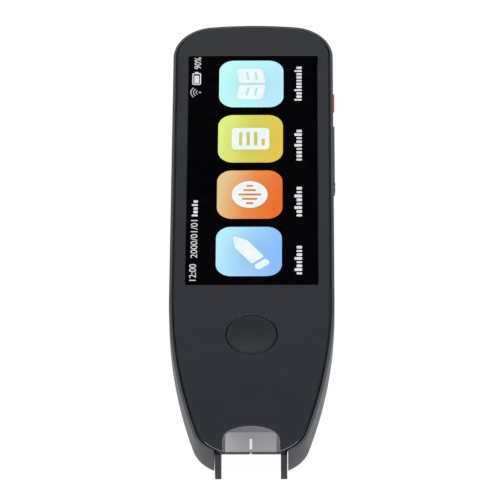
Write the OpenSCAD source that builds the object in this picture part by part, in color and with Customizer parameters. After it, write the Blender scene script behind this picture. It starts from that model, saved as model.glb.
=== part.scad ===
// Handheld scan-and-translate pen: a flat moulded tub with two nose horns, a framed
// display, a round front key, a smoked sight window over the scan notch and a two-legged
// nib trigger that slides in when the nose is pressed on a page.
// Millimetres. Lies on its back: +Z out of the display, +Y away from the nose,
// origin under the middle of the outline.

/* [Body] */
// Overall length, nib legs to top end
body_len = 145.8; // [140:0.1:160]
// Overall width of the tub
body_w = 42; // [41:0.5:46]
// Overall thickness at the front panel
body_t = 12; // [12:0.25:14]
// Side wall of the tub
wall = 1.6; // [1.4:0.1:1.8]
// Back wall of the tub
back_wall = 1.2; // [1:0.1:1.5]
// Radius of the long rounding from flank to back
back_round = 5; // [3.2:0.2:6.2]
// Radius of the top corners in plan
top_corner_r = 11; // [8:0.5:13]
// Radius of the crowned top end in plan
crown_r = 105; // [70:1:130]
// Radius of the long side taper in plan
taper_r = 152; // [130:1:200]
// Length of the tapered part, measured from the nose edge of the panel
taper_len = 50.4; // [44:0.1:56]
// Radius of the nose corners in plan
nose_corner_r = 9.8; // [8:0.1:10]
// How far the back edge is raked in at the nose
nose_rake = 1.8; // [0.5:0.1:3.5]
// Height over which the nose is raked
nose_rake_h = 8; // [6:0.5:9]

/* [Front panel] */
// Thickness of the front panel
panel_t = 1.3; // [1.1:0.1:1.6]
// Height of the panel above the rim of the tub
panel_proud = 0.3; // [0.1:0.05:0.5]
// Thickness of the rim around the panel
rim_w = 0.75; // [0.6:0.05:0.9]
// Bright bevel on the panel's top edge
panel_bevel = 0.35; // [0.2:0.05:0.5]

/* [Display] */
// Width of the display opening
screen_w = 34; // [32:0.5:35]
// Length of the display opening
screen_h = 80; // [76:0.5:82]
// Panel between the display opening and the top end
screen_margin = 11.25; // [10:0.25:13]
// Border of the display module around the opening
lcd_border = 1; // [0.8:0.1:1.4]
// Ledge of the display module that carries its driver
lcd_ledge = 2; // [1.5:0.1:2.2]
// Thickness of the liquid crystal panel
lcd_t = 0.75; // [0.6:0.05:0.9]
// Thickness of the backlight
backlight_t = 0.7; // [0.5:0.05:0.8]
// Thickness of the foam frame over the display module
gasket_t = 0.25; // [0.15:0.05:0.4]
// Thickness of the metal frame plate under the display
frame_t = 0.8; // [0.6:0.05:1]

/* [Front key] */
// Diameter of the round front key
button_d = 13; // [11:0.5:14]
// From the display opening to the middle of the key
button_drop = 16.7; // [15:0.1:18]
// Travel of the key
button_travel = 0.35; // [0.2:0.05:0.4]
// Flange that holds the key under the panel, beyond its edge
button_flange = 1.1; // [0.9:0.1:1.5]
// Radius of the shallow dish in the key's face
dish_r = 90; // [70:5:150]
// Width of the key's two locating tabs
button_tab = 1; // [0.8:0.1:1.4]

/* [Side keys] */
// Length of the red power key
power_len = 5.8; // [5:0.1:8]
// From the top end to the middle of the power key
power_drop = 23.9; // [23:0.1:25]
// Length of the volume rocker
rocker_len = 23.7; // [20:0.5:26]
// Gap between the facing ends of the two side keys
key_spacing = 5.65; // [5:0.25:7]
// Height of both side keys
key_h = 2.4; // [2:0.1:2.8]
// How far the side keys stand out of the flank
key_proud = 0.35; // [0.25:0.05:0.5]
// Depth of the side keys' middle below the panel's face
key_drop = 5; // [4.6:0.1:5.2]
// Travel of the power key
key_travel = 0.3; // [0.2:0.05:0.35]

/* [Nose] */
// Depth of the scan notch, from the panel's nose edge
notch_depth = 17.3; // [15.8:0.1:17.8]
// Width of the scan notch between the horns
notch_w = 18.4; // [18.4:0.1:20]
// Thickness of the wall that closes the notch at the back
notch_wall = 1.2; // [1:0.1:1.4]
// Width of the sight window
window_w = 14.5; // [13:0.1:15]
// Length of the sight window
window_len = 7.8; // [7:0.1:9]
// Corner radius of the sight window
window_corner_r = 3.4; // [2.5:0.1:4]
// Crown radius of the sight window
window_crown_r = 13; // [12:0.5:16]
// Width of the two ribs under the sight window
window_rib = 1; // [0.8:0.1:1.2]

/* [Nib trigger] */
// Travel of the nib trigger
trigger_travel = 1; // [0.6:0.1:1.2]
// Thickness of each leg
leg_t = 1.6; // [1.4:0.1:1.8]
// Distance between the outer faces of the legs
legs_w = 18; // [17:0.1:18]
// How far the legs stand out past the panel's nose edge
leg_proud = 0.1; // [0:0.05:0.8]
// Height of a leg's upright nose, from its top edge
leg_nose_h = 5.6; // [4.6:0.1:6.6]
// How far the foot of a leg is raked back
leg_rake = 0.3; // [0.3:0.1:2.3]
// Height of the legs' feet above the back
leg_foot = 0.5; // [0.3:0.1:1.3]
// Height of the arms that pass through the notch wall
arm_h = 3; // [2.5:0.1:3.2]
// Depth of the cross bar that joins the arms
bar_len = 1.6; // [1.4:0.1:2]
// Outer diameter of the return springs
spring_d = 2.4; // [2:0.1:2.6]
// Wire of the return springs
spring_wire = 0.35; // [0.25:0.05:0.4]
// Length of the return springs at rest
spring_len = 5; // [4.5:0.25:6]
// Turns of each return spring
spring_turns = 6; // [5:1:7]

/* [Scan head] */
// Width of the scan hood
hood_w = 12; // [11.5:0.1:12.4]
// Length of the scan hood
hood_len = 10; // [9.5:0.5:12]
// Wall of the scan hood
hood_wall = 0.8; // [0.6:0.1:1]
// Width of the optical aperture in the notch wall
aperture_w = 9.4; // [8:0.2:9.6]
// Height of the optical aperture
aperture_h = 4.4; // [4:0.1:4.8]
// Side of the square camera body
camera_w = 5.2; // [4.8:0.1:5.6]
// Depth of the camera body
camera_t = 3.2; // [2.5:0.1:3.6]
// Diameter of the lens barrel
barrel_d = 3.8; // [3.4:0.1:4.2]
// Thickness of the clear dust cover
cover_t = 0.6; // [0.5:0.1:0.8]

/* [Inside] */
// Width of the battery
battery_w = 30; // [28:0.5:32]
// Length of the battery
battery_len = 54; // [50:1:56]
// Thickness of the battery
battery_t = 5.2; // [4.5:0.1:5.2]
// Thickness of the foam under the battery
pad_t = 0.6; // [0.5:0.1:0.8]
// Thickness of the circuit boards
board_t = 0.8; // [0.6:0.1:1]
// Free height under the panel over the nose board
board_room = 2.05; // [2:0.05:2.2]
// Length of the main board
main_len = 31; // [30:0.5:32]
// Length of the speaker
speaker_len = 11; // [10:0.5:12]
// Width of the speaker
speaker_w = 18; // [16:0.5:20]
// Thickness of the speaker
speaker_t = 2.8; // [2.4:0.1:2.8]
// Width of one slot of the speaker grille
slot_w = 1; // [0.8:0.1:1.2]
// Number of grille slots
slot_count = 5; // [3:1:6]
// Height of the shield cans
can_h = 1.6; // [1.2:0.1:1.8]

/* [Charging socket] */
// Width of the socket's shell
usb_w = 8.94; // [8.9:0.02:9]
// Height of the socket's shell
usb_h = 3.2; // [3.16:0.02:3.26]
// Length of the socket's shell
usb_len = 7.3; // [6.8:0.1:8]
// Sheet thickness of the socket's shell
usb_sheet = 0.3; // [0.2:0.05:0.35]
// Middle of the socket above the main board
usb_rise = 1; // [0.9:0.05:1.2]

/* [Fasteners] */
// Diameter of the screws
screw_d = 1.3; // [1.2:0.05:1.6]
// Diameter of the screw heads
screw_head_d = 2.6; // [2.4:0.1:2.8]
// Height of the screw heads
screw_head_h = 0.5; // [0.4:0.05:0.6]
// Length of the frame screws under the head
screw_len = 5; // [4:0.1:5.5]
// Length of the board screws under the head
board_screw_len = 2.4; // [2:0.1:2.6]
// Diameter of the screw bosses
boss_d = 3.8; // [3.4:0.1:4]

/* [Clearances] */
// Gap between stacked faces that touch in use
seat = 0.04; // [0.03:0.01:0.08]
// Gap around pieces that drop into an opening
fit = 0.1; // [0.06:0.01:0.15]
// Gap between the panel's edge and the rim
panel_gap = 0.2; // [0.15:0.05:0.3]
// Gap around the moving keys
key_gap = 0.2; // [0.18:0.01:0.25]
// Radial gap of a running fit
run_gap = 0.05; // [0.03:0.01:0.08]

/* [Hidden] */
$fn = 48;
slice = 0.01;          // thickness of a loft's section
over = 1;              // how far a cutter runs past the stock

// Plan stations
y_top = body_len / 2;
y_tip = -body_len / 2;
panel_y = y_tip + leg_proud;
panel_inset = rim_w + panel_gap;
nose_y = panel_y - panel_inset;
taper_y = panel_y + taper_len;
notch_y = panel_y + notch_depth;
screen_y1 = y_top - screen_margin;
screen_y0 = screen_y1 - screen_h;
screen_cy = (screen_y0 + screen_y1) / 2;
button_y = screen_y0 - button_drop;
inner_x = body_w / 2 - wall;

// Heights of the display stack, from the panel down
panel_z = body_t - panel_t;
rim_z = body_t - panel_proud;
gasket_z = panel_z - seat - gasket_t;
lcd_z = gasket_z - seat - lcd_t;
backlight_z = lcd_z - seat - backlight_t;
frame_z = backlight_z - seat - frame_t;
glass_z = lcd_z + lcd_t + seat;
glass_t = body_t - 0.05 - glass_z;

// Display module in plan
lcd_w = screen_w + 2 * lcd_border;
lcd_y0 = screen_y0 - lcd_border - lcd_ledge;
lcd_y1 = screen_y1 + lcd_border;

// Nose board and scan head
nose_board_z = panel_z - board_room - board_t;
nose_board_top = nose_board_z + board_t;
nose_board_y1 = lcd_y0;
hood_y = notch_y + notch_wall + seat;
hood_z = back_wall + seat;
hood_h = nose_board_z - seat - hood_z;
optic_z = hood_z + hood_h / 2;
nose_neck_w = hood_w;

// Nib trigger
leg_top = panel_z - 3 * fit;
leg_x = legs_w / 2 - leg_t;
arm_z = leg_top - arm_h;
leg_back = notch_y - trigger_travel - 3 * fit;
bar_y = hood_y + seat;
bar_z = nose_board_top + 2 * fit;
spring_z = arm_z + arm_h / 2;
spring_x = legs_w / 2 - leg_t / 2;
spring_y = bar_y + bar_len + seat;
stop_y = spring_y + spring_len + seat;
stop_t = 1.2;
stop_w = 2.8;
nose_board_y0 = bar_y + bar_len + trigger_travel + fit;
nose_board_wide_y = stop_y + stop_t + 4 * fit;
switch_y = bar_y + bar_len + trigger_travel + fit;
switch_len = 3.2;
switch_w = 3.4;
switch_h = leg_top - fit - nose_board_top - seat;
plunger_r = 0.45;
plunger_grip = 1.1;
plunger_z = nose_board_top + seat + switch_h / 2;

// Front key
button_r = button_d / 2;
flange_r = button_r + button_flange;
flange_t = 0.5;
flange_z = panel_z - fit - flange_t;
button_dome_r = 2.5;
stem_r = 1.6;

// Side keys
key_z = body_t - key_drop;
power_y = y_top - power_drop;
rocker_y = power_y - power_len / 2 - key_spacing - rocker_len / 2;
key_flange = 0.6;
stub_len = 0.4;
key_flange_x = inner_x - 3 * fit - key_flange;
key_board_t = 0.4;
key_board_x = key_flange_x - stub_len - key_travel - 2 * seat - key_board_t;
key_board_x1 = key_board_x + key_board_t;
rocker_reach = rocker_len / 2 - 2.85;

// Battery and boards
pad_z = back_wall + seat;
battery_z = pad_z + pad_t + seat;
battery_top = battery_z + battery_t;
battery_y0 = screen_y0 - 0.5;
battery_y1 = battery_y0 + battery_len;
mesh_t = 0.2;
speaker_room = 0.15;
speaker_z = back_wall + mesh_t + 2 * seat;
main_z = speaker_z + speaker_t + speaker_room;
main_top = main_z + board_t;
main_y1 = y_top - wall - 0.9;
main_y0 = main_y1 - main_len;
usb_z = main_top + usb_rise;
usb_y1 = y_top - 0.2;
speaker_y = main_y1 - usb_len - 3.4 - speaker_len / 2;
mic_x = 7.2;
mic_w = 2.4;
flex_t = 0.15;
flex_z = battery_top + 2 * seat;
link_w = 6;
plug_h = 0.5;
can_t = 0.2;

// Screws: x, y of the plate and board screws on the right-hand side
boss_root = 0.1;
pilot_spare = 0.4;
cross_len = 1.2;
cross_w = 0.3;
boss_gap = 0.8;        // room beside a boss
frame_screw_top = [mic_x + mic_w / 2 + boss_d / 2 + 2 * boss_gap, lcd_y1 + 3.2];
frame_screw_low = [inner_x - boss_d, lcd_y0 - 3.6];
nose_board_w = 2 * (frame_screw_low[0] - boss_d / 2 - boss_gap);
nose_screw = [nose_board_w / 2 - boss_d / 2 - boss_gap, nose_board_wide_y + 2.4];
main_screw = [key_board_x - boss_d / 2 - boss_gap, main_y0 + 4.4];

// ---------- plan outline ----------

// Points along an arc, from angle a0 to a1 in n steps
function arc(c, r, a0, a1, n) =
    [for (i = [0 : n]) let (a = a0 + (a1 - a0) * i / n) [c[0] + r * cos(a), c[1] + r * sin(a)]];

function mirrored(points) = [for (i = [len(points) - 1 : -1 : 0]) [-points[i][0], points[i][1]]];

// Right half of the tub's plan, nose to top. inset moves it inwards all round about the
// same arc centres; pull moves the nose corner towards the top end.
function half_plan(inset, pull) =
    let (side = [body_w / 2 - taper_r, taper_y],
         cy = nose_y + pull + nose_corner_r,
         cx = side[0] + sqrt(pow(taper_r - nose_corner_r, 2) - pow(cy - taper_y, 2)),
         lean = atan2(cy - taper_y, cx - side[0]),
         tx = body_w / 2 - top_corner_r,
         crown = [0, y_top - crown_r],
         ty = crown[1] + sqrt(pow(crown_r - top_corner_r, 2) - tx * tx),
         turn = atan2(ty - crown[1], tx))
    concat(arc([cx, cy], nose_corner_r - inset, -90, lean, 10),
           arc(side, taper_r - inset, lean * 11 / 12, 0, 11),
           arc([tx, ty], top_corner_r - inset, 0, turn, 12),
           arc(crown, crown_r - inset, turn + (90 - turn) / 5, 90 - (90 - turn) / 5, 3));

function plan(inset, pull = 0) =
    let (half = half_plan(inset, pull)) concat(half, [[0, y_top - inset]], mirrored(half));

module plate(inset, z0, z1, pull = 0)
    translate([0, 0, z0]) linear_extrude(z1 - z0) polygon(plan(inset, pull));

// How far the rounding and the nose rake draw the section in at height z
function round_in(z, r) = z >= r ? 0 : r - sqrt(r * r - pow(r - z, 2));
function rake_in(z) = z >= nose_rake_h ? 0 : nose_rake * pow(1 - z / nose_rake_h, 2);

// Heights of the sections: even angles round the back edge, then the rake's end and the rim
function tub_levels(r, floor_z, top_z) =
    concat([for (i = [0 : 8]) floor_z + r * (1 - cos(90 * i / 8))],
           nose_rake_h > floor_z + r ? [nose_rake_h] : [], [top_z]);

// Closed solid through a stack of rings, lowest first, each listed anticlockwise from above
module loft(rings) {
    n = len(rings[0]);
    m = len(rings);
    walls = [for (i = [0 : m - 2], j = [0 : n - 1])
        let (k = (j + 1) % n, a = i * n, b = (i + 1) * n)
        each [[a + j, b + j, b + k], [a + j, b + k, a + k]]];
    caps = [[for (j = [0 : n - 1]) j], [for (j = [n - 1 : -1 : 0]) (m - 1) * n + j]];
    polyhedron([for (ring = rings) each ring], concat(walls, caps), convexity = 4);
}

// Solid with the tub's rounded back, inset from the outside by skin, from floor to top
module tub(skin, floor_z, top_z) {
    r = back_round - skin;
    loft([for (z = tub_levels(r, floor_z, top_z))
        [for (p = plan(skin + round_in(z - floor_z, r), rake_in(z))) [p[0], p[1], z]]]);
}

// ---------- shared shapes ----------

// Box from its lowest to its highest corner
module block(a, b) translate(a) cube(b - a);

// Box of width w centred on x = 0
module bar(w, y0, y1, z0, z1) block([-w / 2, y0, z0], [w / 2, y1, z1]);

module both_sides() {
    children();
    mirror([1, 0, 0]) children();
}

// Bar with round ends, long axis along Y, drawn along +X from x0 to x1
module key_bar(len, h, x0, x1) {
    block([x0, -len / 2 + h / 2, -h / 2], [x1, len / 2 - h / 2, h / 2]);
    for (s = [-1, 1]) translate([x0, s * (len / 2 - h / 2), 0]) rotate([0, 90, 0])
        cylinder(h = x1 - x0, d = h);
}

// Bar with round ends, long axis along X, drawn along +Y from y0 to y1
module slot_bar(w, h, y0, y1) {
    block([-w / 2 + h / 2, y0, -h / 2], [w / 2 - h / 2, y1, h / 2]);
    for (s = [-1, 1]) translate([s * (w / 2 - h / 2), y0, 0]) rotate([-90, 0, 0])
        cylinder(h = y1 - y0, d = h);
}

// Upright bar with round ends, long axis along X
module flat_slot(len, w, z0, z1) {
    block([-len / 2 + w / 2, -w / 2, z0], [len / 2 - w / 2, w / 2, z1]);
    for (s = [-1, 1]) translate([s * (len / 2 - w / 2), 0, z0]) cylinder(h = z1 - z0, d = w);
}

// Screw boss standing on the back wall
module boss(p, top) translate([p[0], p[1], back_wall - boss_root])
    cylinder(h = top - back_wall + boss_root, d = boss_d);

// Pilot hole for a screw of length len whose head rests at height z
module pilot(p, z, len) translate([p[0], p[1], z - len - pilot_spare])
    cylinder(h = len + pilot_spare + over, d = screw_d + 2 * run_gap);

module through(p, z0, z1, d) translate([p[0], p[1], z0 - over])
    cylinder(h = z1 - z0 + 2 * over, d = d);

// Cross-head screw of length len whose head rests at height z
module screw(p, z, len) translate([p[0], p[1], z]) difference() {
    union() {
        translate([0, 0, -len]) cylinder(h = len + slice, d = screw_d);
        cylinder(h = screw_head_h, d = screw_head_d);
    }
    for (a = [0, 90]) rotate(a) translate([-cross_len / 2, -cross_w / 2, screw_head_h / 2])
        cube([cross_len, cross_w, screw_head_h]);
}

// Close-wound compression spring along +Y from the origin
module coil_spring(d, wire, len, turns) {
    steps = 14 * turns;
    sides = 6;
    r = (d - wire) / 2;
    pitch = (len - wire) / turns;
    ring = [for (i = [0 : steps], j = [0 : sides - 1])
        let (a = 360 * turns * i / steps, b = 360 * j / sides, q = r + wire / 2 * cos(b))
        [q * cos(a), wire / 2 + pitch * turns * i / steps + wire / 2 * sin(b), q * sin(a)]];
    walls = [for (i = [0 : steps - 1], j = [0 : sides - 1])
        let (k = (j + 1) % sides)
        [i * sides + j, i * sides + k, (i + 1) * sides + k, (i + 1) * sides + j]];
    caps = [[for (j = [sides - 1 : -1 : 0]) j], [for (j = [0 : sides - 1]) steps * sides + j]];
    polyhedron(ring, concat(walls, caps), convexity = 10);
}

// Snap dome, flat side down
module dome(r, h) cylinder(h = h, r1 = r, r2 = r * 0.6);

// Round the corners of a polygon, each by its own radius
function unit(v) = v / norm(v);
function fillet(a, p, b, r, n = 5) = r == 0 ? [p] :
    let (u = unit(a - p), w = unit(b - p), half = acos(u * w) / 2,
         c = p + unit(u + w) * r / sin(half),
         s = p + u * r / tan(half) - c, e = p + w * r / tan(half) - c,
         a0 = atan2(s[1], s[0]), sweep = (atan2(e[1], e[0]) - a0 + 540) % 360 - 180)
    arc(c, r, a0, a0 + sweep, n);
function rounded(points, radii) =
    let (n = len(points))
    [for (i = [0 : n - 1]) each fillet(points[(i + n - 1) % n], points[i], points[(i + 1) % n],
                                       radii[i])];

// Rectangular plate with rounded corners
module round_plate(x0, x1, y0, y1, z0, z1, r) translate([0, 0, z0]) linear_extrude(z1 - z0)
    polygon(rounded([[x0, y0], [x1, y0], [x1, y1], [x0, y1]], [r, r, r, r]));

// ---------- sight window ----------

window_y1 = panel_y + window_len;

// Plan of the window: straight flanks, round shoulders and a low crown
function window_plan(grow) =
    let (cx = window_w / 2 - window_corner_r,
         crown = [0, window_y1 - window_crown_r],
         cy = crown[1] + sqrt(pow(window_crown_r - window_corner_r, 2) - cx * cx),
         turn = atan2(cy - crown[1], cx),
         half = concat([[window_w / 2 + grow, panel_y - over]],
                       arc([cx, cy], window_corner_r + grow, 0, turn, 10),
                       arc(crown, window_crown_r + grow, turn + (90 - turn) / 6, 90, 5)))
    concat(half, mirrored([for (i = [0 : len(half) - 2]) half[i]]));

window_top = body_t - seat;
window_flange_t = 0.4;
window_flange_len = 1.4;
window_rib_h = 1.5;
window_rib_x = leg_x - 2 * fit - window_rib;

module window_bar(grow, z0, z1) intersection() {
    translate([0, 0, z0]) linear_extrude(z1 - z0) polygon(window_plan(grow));
    bar(body_w, panel_y, notch_y, z0, z1);
}

module sight_window() color([0.35, 0.35, 0.38, 0.6]) {
    window_bar(-fit, panel_z, window_top);
    // tongue that hooks under the panel
    window_bar(-fit, panel_z - seat - window_flange_t, panel_z + slice);
    bar(window_w - 2 * window_corner_r, window_y1 - 2 * window_flange_len,
        window_y1 + window_flange_len, panel_z - seat - window_flange_t, panel_z - seat);
    both_sides() block([window_rib_x, panel_y + window_rib, panel_z - window_rib_h],
                       [window_rib_x + window_rib, window_y1 - window_corner_r, panel_z]);
}

// ---------- shells ----------

// Openings of the two side keys, in the frame of the right flank
module key_slot(y, len) translate([0, y, key_z])
    key_bar(len + 2 * key_gap, key_h + 2 * key_gap, inner_x - over, body_w / 2 + over);

arm_gap = 2 * fit;
grille_len = speaker_w - 6;
grille_pitch = 1.8;
sound_d = 1;

module grille() for (i = [0 : slot_count - 1])
    translate([0, speaker_y + (i - (slot_count - 1) / 2) * grille_pitch, 0])
        flat_slot(grille_len, slot_w, -over, back_wall + over);

module rear_housing() color([0.19, 0.19, 0.21]) difference() {
    union() {
        difference() {
            tub(0, 0, rim_z);
            difference() {
                tub(wall, back_wall, rim_z + over);
                bar(notch_w + 2 * notch_wall, nose_y - over, notch_y + notch_wall, 0, body_t);
            }
        }
        both_sides() {
            boss(frame_screw_top, frame_z - seat);
            boss(frame_screw_low, frame_z - seat);
            boss(nose_screw, nose_board_z - seat);
            boss(main_screw, main_z - seat);
            // abutments of the trigger springs, each with a guide pin
            block([spring_x - stop_w / 2, stop_y, back_wall / 2],
                  [spring_x + stop_w / 2, stop_y + stop_t, leg_top]);
            translate([spring_x, stop_y + slice, spring_z]) rotate([90, 0, 0])
                cylinder(h = stop_t, r = spring_d / 2 - spring_wire - fit);
        }
    }
    plate(rim_w, panel_z - seat, body_t + over);
    bar(lcd_w + 2 * fit, lcd_y0 - fit, lcd_y1 + fit, backlight_z - seat, body_t);
    bar(notch_w, nose_y - over, notch_y, -over, body_t + over);
    both_sides() {
        block([leg_x - arm_gap, notch_y - over, arm_z - arm_gap],
              [legs_w / 2 + arm_gap, notch_y + notch_wall + over, body_t]);
        pilot(frame_screw_top, frame_z, screw_len);
        pilot(frame_screw_low, frame_z, screw_len);
        pilot(nose_screw, nose_board_z, board_screw_len);
        pilot(main_screw, main_z, board_screw_len);
        translate([mic_x, y_top - 3 * wall, main_top + 0.6]) rotate([-90, 0, 0])
            cylinder(h = 4 * wall, d = sound_d);
    }
    translate([0, 0, optic_z])
        slot_bar(aperture_w, aperture_h, notch_y - over, notch_y + notch_wall + over);
    translate([0, 0, usb_z])
        slot_bar(usb_w + 2 * fit, usb_h + 2 * fit, y_top - 3 * wall, y_top + over);
    key_slot(power_y, power_len);
    key_slot(rocker_y, rocker_len);
    grille();
}

module front_panel() color([0.22, 0.22, 0.235]) difference() {
    hull() {
        plate(panel_inset, panel_z, body_t - panel_bevel);
        plate(panel_inset + panel_bevel, panel_z, body_t);
    }
    round_plate(-screen_w / 2, screen_w / 2, screen_y0, screen_y1, panel_z - over, body_t + over,
                glass_corner_r);
    translate([0, button_y, panel_z - over]) {
        cylinder(h = panel_t + 2 * over, r = button_r + key_gap, $fn = 96);
        bar(2 * (button_r + tab_reach + key_gap), -button_tab / 2 - fit, button_tab / 2 + fit,
            0, panel_t + 2 * over);
    }
    translate([0, 0, panel_z - over]) linear_extrude(panel_t + 2 * over) polygon(window_plan(0));
}

// ---------- display ----------

glass_corner_r = 0.6;

module screen_glass() color([0.02, 0.02, 0.025])
    round_plate(-screen_w / 2 + fit, screen_w / 2 - fit, screen_y0 + fit, screen_y1 - fit,
                glass_z, glass_z + glass_t, glass_corner_r);

module display_gasket() color([0.06, 0.06, 0.06]) difference() {
    bar(lcd_w, lcd_y0, lcd_y1, gasket_z, gasket_z + gasket_t);
    bar(screen_w + fit, screen_y0 - fit / 2, screen_y1 + fit / 2, gasket_z - over, panel_z);
}

module display_panel() color([0.1, 0.11, 0.13])
    bar(lcd_w, lcd_y0, lcd_y1, lcd_z, lcd_z + lcd_t);

module backlight() color([0.9, 0.9, 0.88])
    bar(lcd_w, lcd_y0 + lcd_ledge, lcd_y1, backlight_z, backlight_z + backlight_t);

display_plug_y = lcd_y0 - 4.6;
display_plug_len = 2;
display_flex_z = nose_board_top + plug_h + seat;
display_flex_w = 8;
flex_bend = 1.2;

module display_flex() color([0.85, 0.55, 0.2]) {
    bar(display_flex_w, lcd_y0 - flex_bend, lcd_y0 - seat, lcd_z, lcd_z + flex_t);
    bar(display_flex_w, lcd_y0 - flex_bend, lcd_y0 - flex_bend + flex_t, display_flex_z,
        lcd_z + flex_t);
    bar(display_flex_w, display_plug_y, lcd_y0 - flex_bend + flex_t, display_flex_z,
        display_flex_z + flex_t);
}

frame_x = inner_x - 4 * fit;
frame_y1 = frame_screw_top[1] + boss_d / 2;
ear_x = nose_board_w / 2 + 4 * fit;
light_hole_d = 9;

// Space that the side keys need beside the frame and the boards
module key_room() block([key_board_x - 3 * fit, rocker_y - rocker_len / 2 - 2, 0],
                        [body_w, power_y + power_len / 2 + 2, panel_z]);

module mid_frame() color([0.72, 0.73, 0.75]) difference() {
    intersection() {
        plate(wall + 4 * fit, frame_z, frame_z + frame_t);
        union() {
            bar(2 * frame_x, lcd_y0, frame_y1, frame_z, frame_z + frame_t);
            both_sides() block([ear_x, frame_screw_low[1] - boss_d / 2, frame_z],
                               [frame_x, lcd_y0 + over, frame_z + frame_t]);
        }
    }
    key_room();
    both_sides() {
        through(frame_screw_top, frame_z, frame_z + frame_t, screw_d + 2 * fit);
        through(frame_screw_low, frame_z, frame_z + frame_t, screw_d + 2 * fit);
    }
    for (i = [-1 : 1]) through([0, screen_cy + i * screen_h / 4], frame_z, frame_z + frame_t,
                               light_hole_d);
}

// ---------- power and boards ----------

module battery() color([0.75, 0.77, 0.8]) {
    bar(battery_w - battery_t, battery_y0, battery_y1, battery_z, battery_top);
    both_sides() translate([battery_w / 2 - battery_t / 2, battery_y0, battery_z + battery_t / 2])
        rotate([-90, 0, 0]) cylinder(h = battery_len, d = battery_t);
}

module battery_pad() color([0.15, 0.15, 0.15])
    bar(battery_w - battery_t, battery_y0 + 2, battery_y1 - 2, pad_z, pad_z + pad_t);

tab_x = 6;
tab_z = main_top + plug_h + seat;
cell_board_w = 16;
cell_board_t = 0.8;
plug_len = 3;
plug_y = main_y0 + 1;

module battery_circuit() color([0.1, 0.35, 0.2]) {
    bar(cell_board_w, battery_y1 + seat, battery_y1 + seat + cell_board_t, battery_z + 1,
        tab_z + flex_t);
    block([tab_x - link_w / 2, battery_y1 + seat, tab_z],
          [tab_x + link_w / 2, plug_y + plug_len, tab_z + flex_t]);
}

module main_board() color([0.08, 0.3, 0.18]) {
    difference() {
        plate(wall + 9 * fit, main_z, main_top);
        bar(body_w, nose_y - over, main_y0, 0, body_t);
        key_room();
        bar(usb_w + 4 * fit, usb_y1 - usb_len - 2 * fit, y_top, 0, body_t);
        both_sides() {
            through(frame_screw_top, main_z, main_top, boss_d + 6 * fit);
            through(main_screw, main_z, main_top, screw_d + 2 * fit);
        }
    }
    for (x = [-tab_x, tab_x]) block([x - link_w / 2, plug_y, main_top - slice],
                                    [x + link_w / 2, plug_y + plug_len, main_top + plug_h]);
}

can_y = plug_y + plug_len + 2.5;
cans = [[-10, 3, 13.5], [4.5, 12, 11.5]];    // left edge, right edge, length of each can

module shield_cans() color([0.8, 0.8, 0.82]) for (c = cans) difference() {
    block([c[0], can_y, main_top + seat], [c[1], can_y + c[2], main_top + can_h]);
    block([c[0] + can_t, can_y + can_t, main_top - seat],
          [c[1] - can_t, can_y + c[2] - can_t, main_top + can_h - can_t]);
}

tongue_w = 6.7;
tongue_t = 0.7;

module usb_socket() color([0.78, 0.78, 0.8]) translate([0, 0, usb_z]) {
    difference() {
        slot_bar(usb_w, usb_h, usb_y1 - usb_len, usb_y1);
        slot_bar(usb_w - 2 * usb_sheet, usb_h - 2 * usb_sheet, usb_y1 - usb_len + 3 * usb_sheet,
                 usb_y1 + over);
    }
    bar(tongue_w, usb_y1 - usb_len + usb_sheet, usb_y1 - 3 * usb_sheet, -tongue_t / 2,
        tongue_t / 2);
}

mic_h = 1.1;
mic_len = 3;

module microphones() color([0.75, 0.7, 0.55]) both_sides()
    block([mic_x - mic_w / 2, main_y1 - 1 - mic_len, main_top + seat],
          [mic_x + mic_w / 2, main_y1 - 1, main_top + seat + mic_h]);

module speaker() color([0.12, 0.12, 0.13]) difference() {
    bar(speaker_w, speaker_y - speaker_len / 2, speaker_y + speaker_len / 2, speaker_z,
        speaker_z + speaker_t);
    bar(speaker_w - 2 * wall, speaker_y - speaker_len / 2 + wall, speaker_y + speaker_len / 2 - wall,
        speaker_z - over, speaker_z + mesh_t);
}

module speaker_mesh() color([0.3, 0.3, 0.32])
    bar(grille_len + 2, speaker_y - speaker_len / 2 + fit, speaker_y + speaker_len / 2 - fit,
        back_wall + seat, back_wall + seat + mesh_t);

antenna_len = 30;
antenna_h = 3.4;
antenna_t = 0.15;

module wifi_antenna() color([0.8, 0.6, 0.2])
    block([-inner_x + 3 * fit, main_y0 + 4 - antenna_len / 2, frame_z - fit - antenna_h],
          [-inner_x + 3 * fit + antenna_t, main_y0 + 4 + antenna_len / 2, frame_z - fit]);

link_y0 = nose_board_y1 - 6;
link_drop_y = plug_y - 1;
link_low_z = main_top + plug_h + seat;

module link_flex() color([0.85, 0.55, 0.2]) translate([-tab_x, 0, 0]) {
    bar(link_w, link_y0, link_drop_y, flex_z, flex_z + flex_t);
    bar(link_w, link_drop_y - flex_t, link_drop_y, link_low_z, flex_z + flex_t);
    bar(link_w, link_drop_y - flex_t, plug_y + plug_len, link_low_z, link_low_z + flex_t);
}

chip_w = 6;
chip_h = 1;

module nose_board() color([0.08, 0.3, 0.18]) {
    difference() {
        union() {
            bar(nose_neck_w, nose_board_y0, nose_board_wide_y + slice, nose_board_z, nose_board_top);
            bar(nose_board_w, nose_board_wide_y, nose_board_y1 - 3 * fit, nose_board_z,
                nose_board_top);
        }
        both_sides() through(nose_screw, nose_board_z, nose_board_top, screw_d + 2 * fit);
    }
    bar(display_flex_w, display_plug_y, display_plug_y + display_plug_len, nose_board_top - slice,
        nose_board_top + plug_h);
    translate([-tab_x, 0, 0]) bar(link_w, link_y0, link_y0 + plug_len,
                                  flex_z + flex_t + seat, nose_board_z + slice);
    bar(chip_w, hood_y + hood_len + 2, hood_y + hood_len + 2 + chip_w, nose_board_z - chip_h,
        nose_board_z + slice);
}

// ---------- scan head ----------

mouth_w = hood_w - 2 * hood_wall;
mouth_h = hood_h - 2 * hood_wall;

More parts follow.
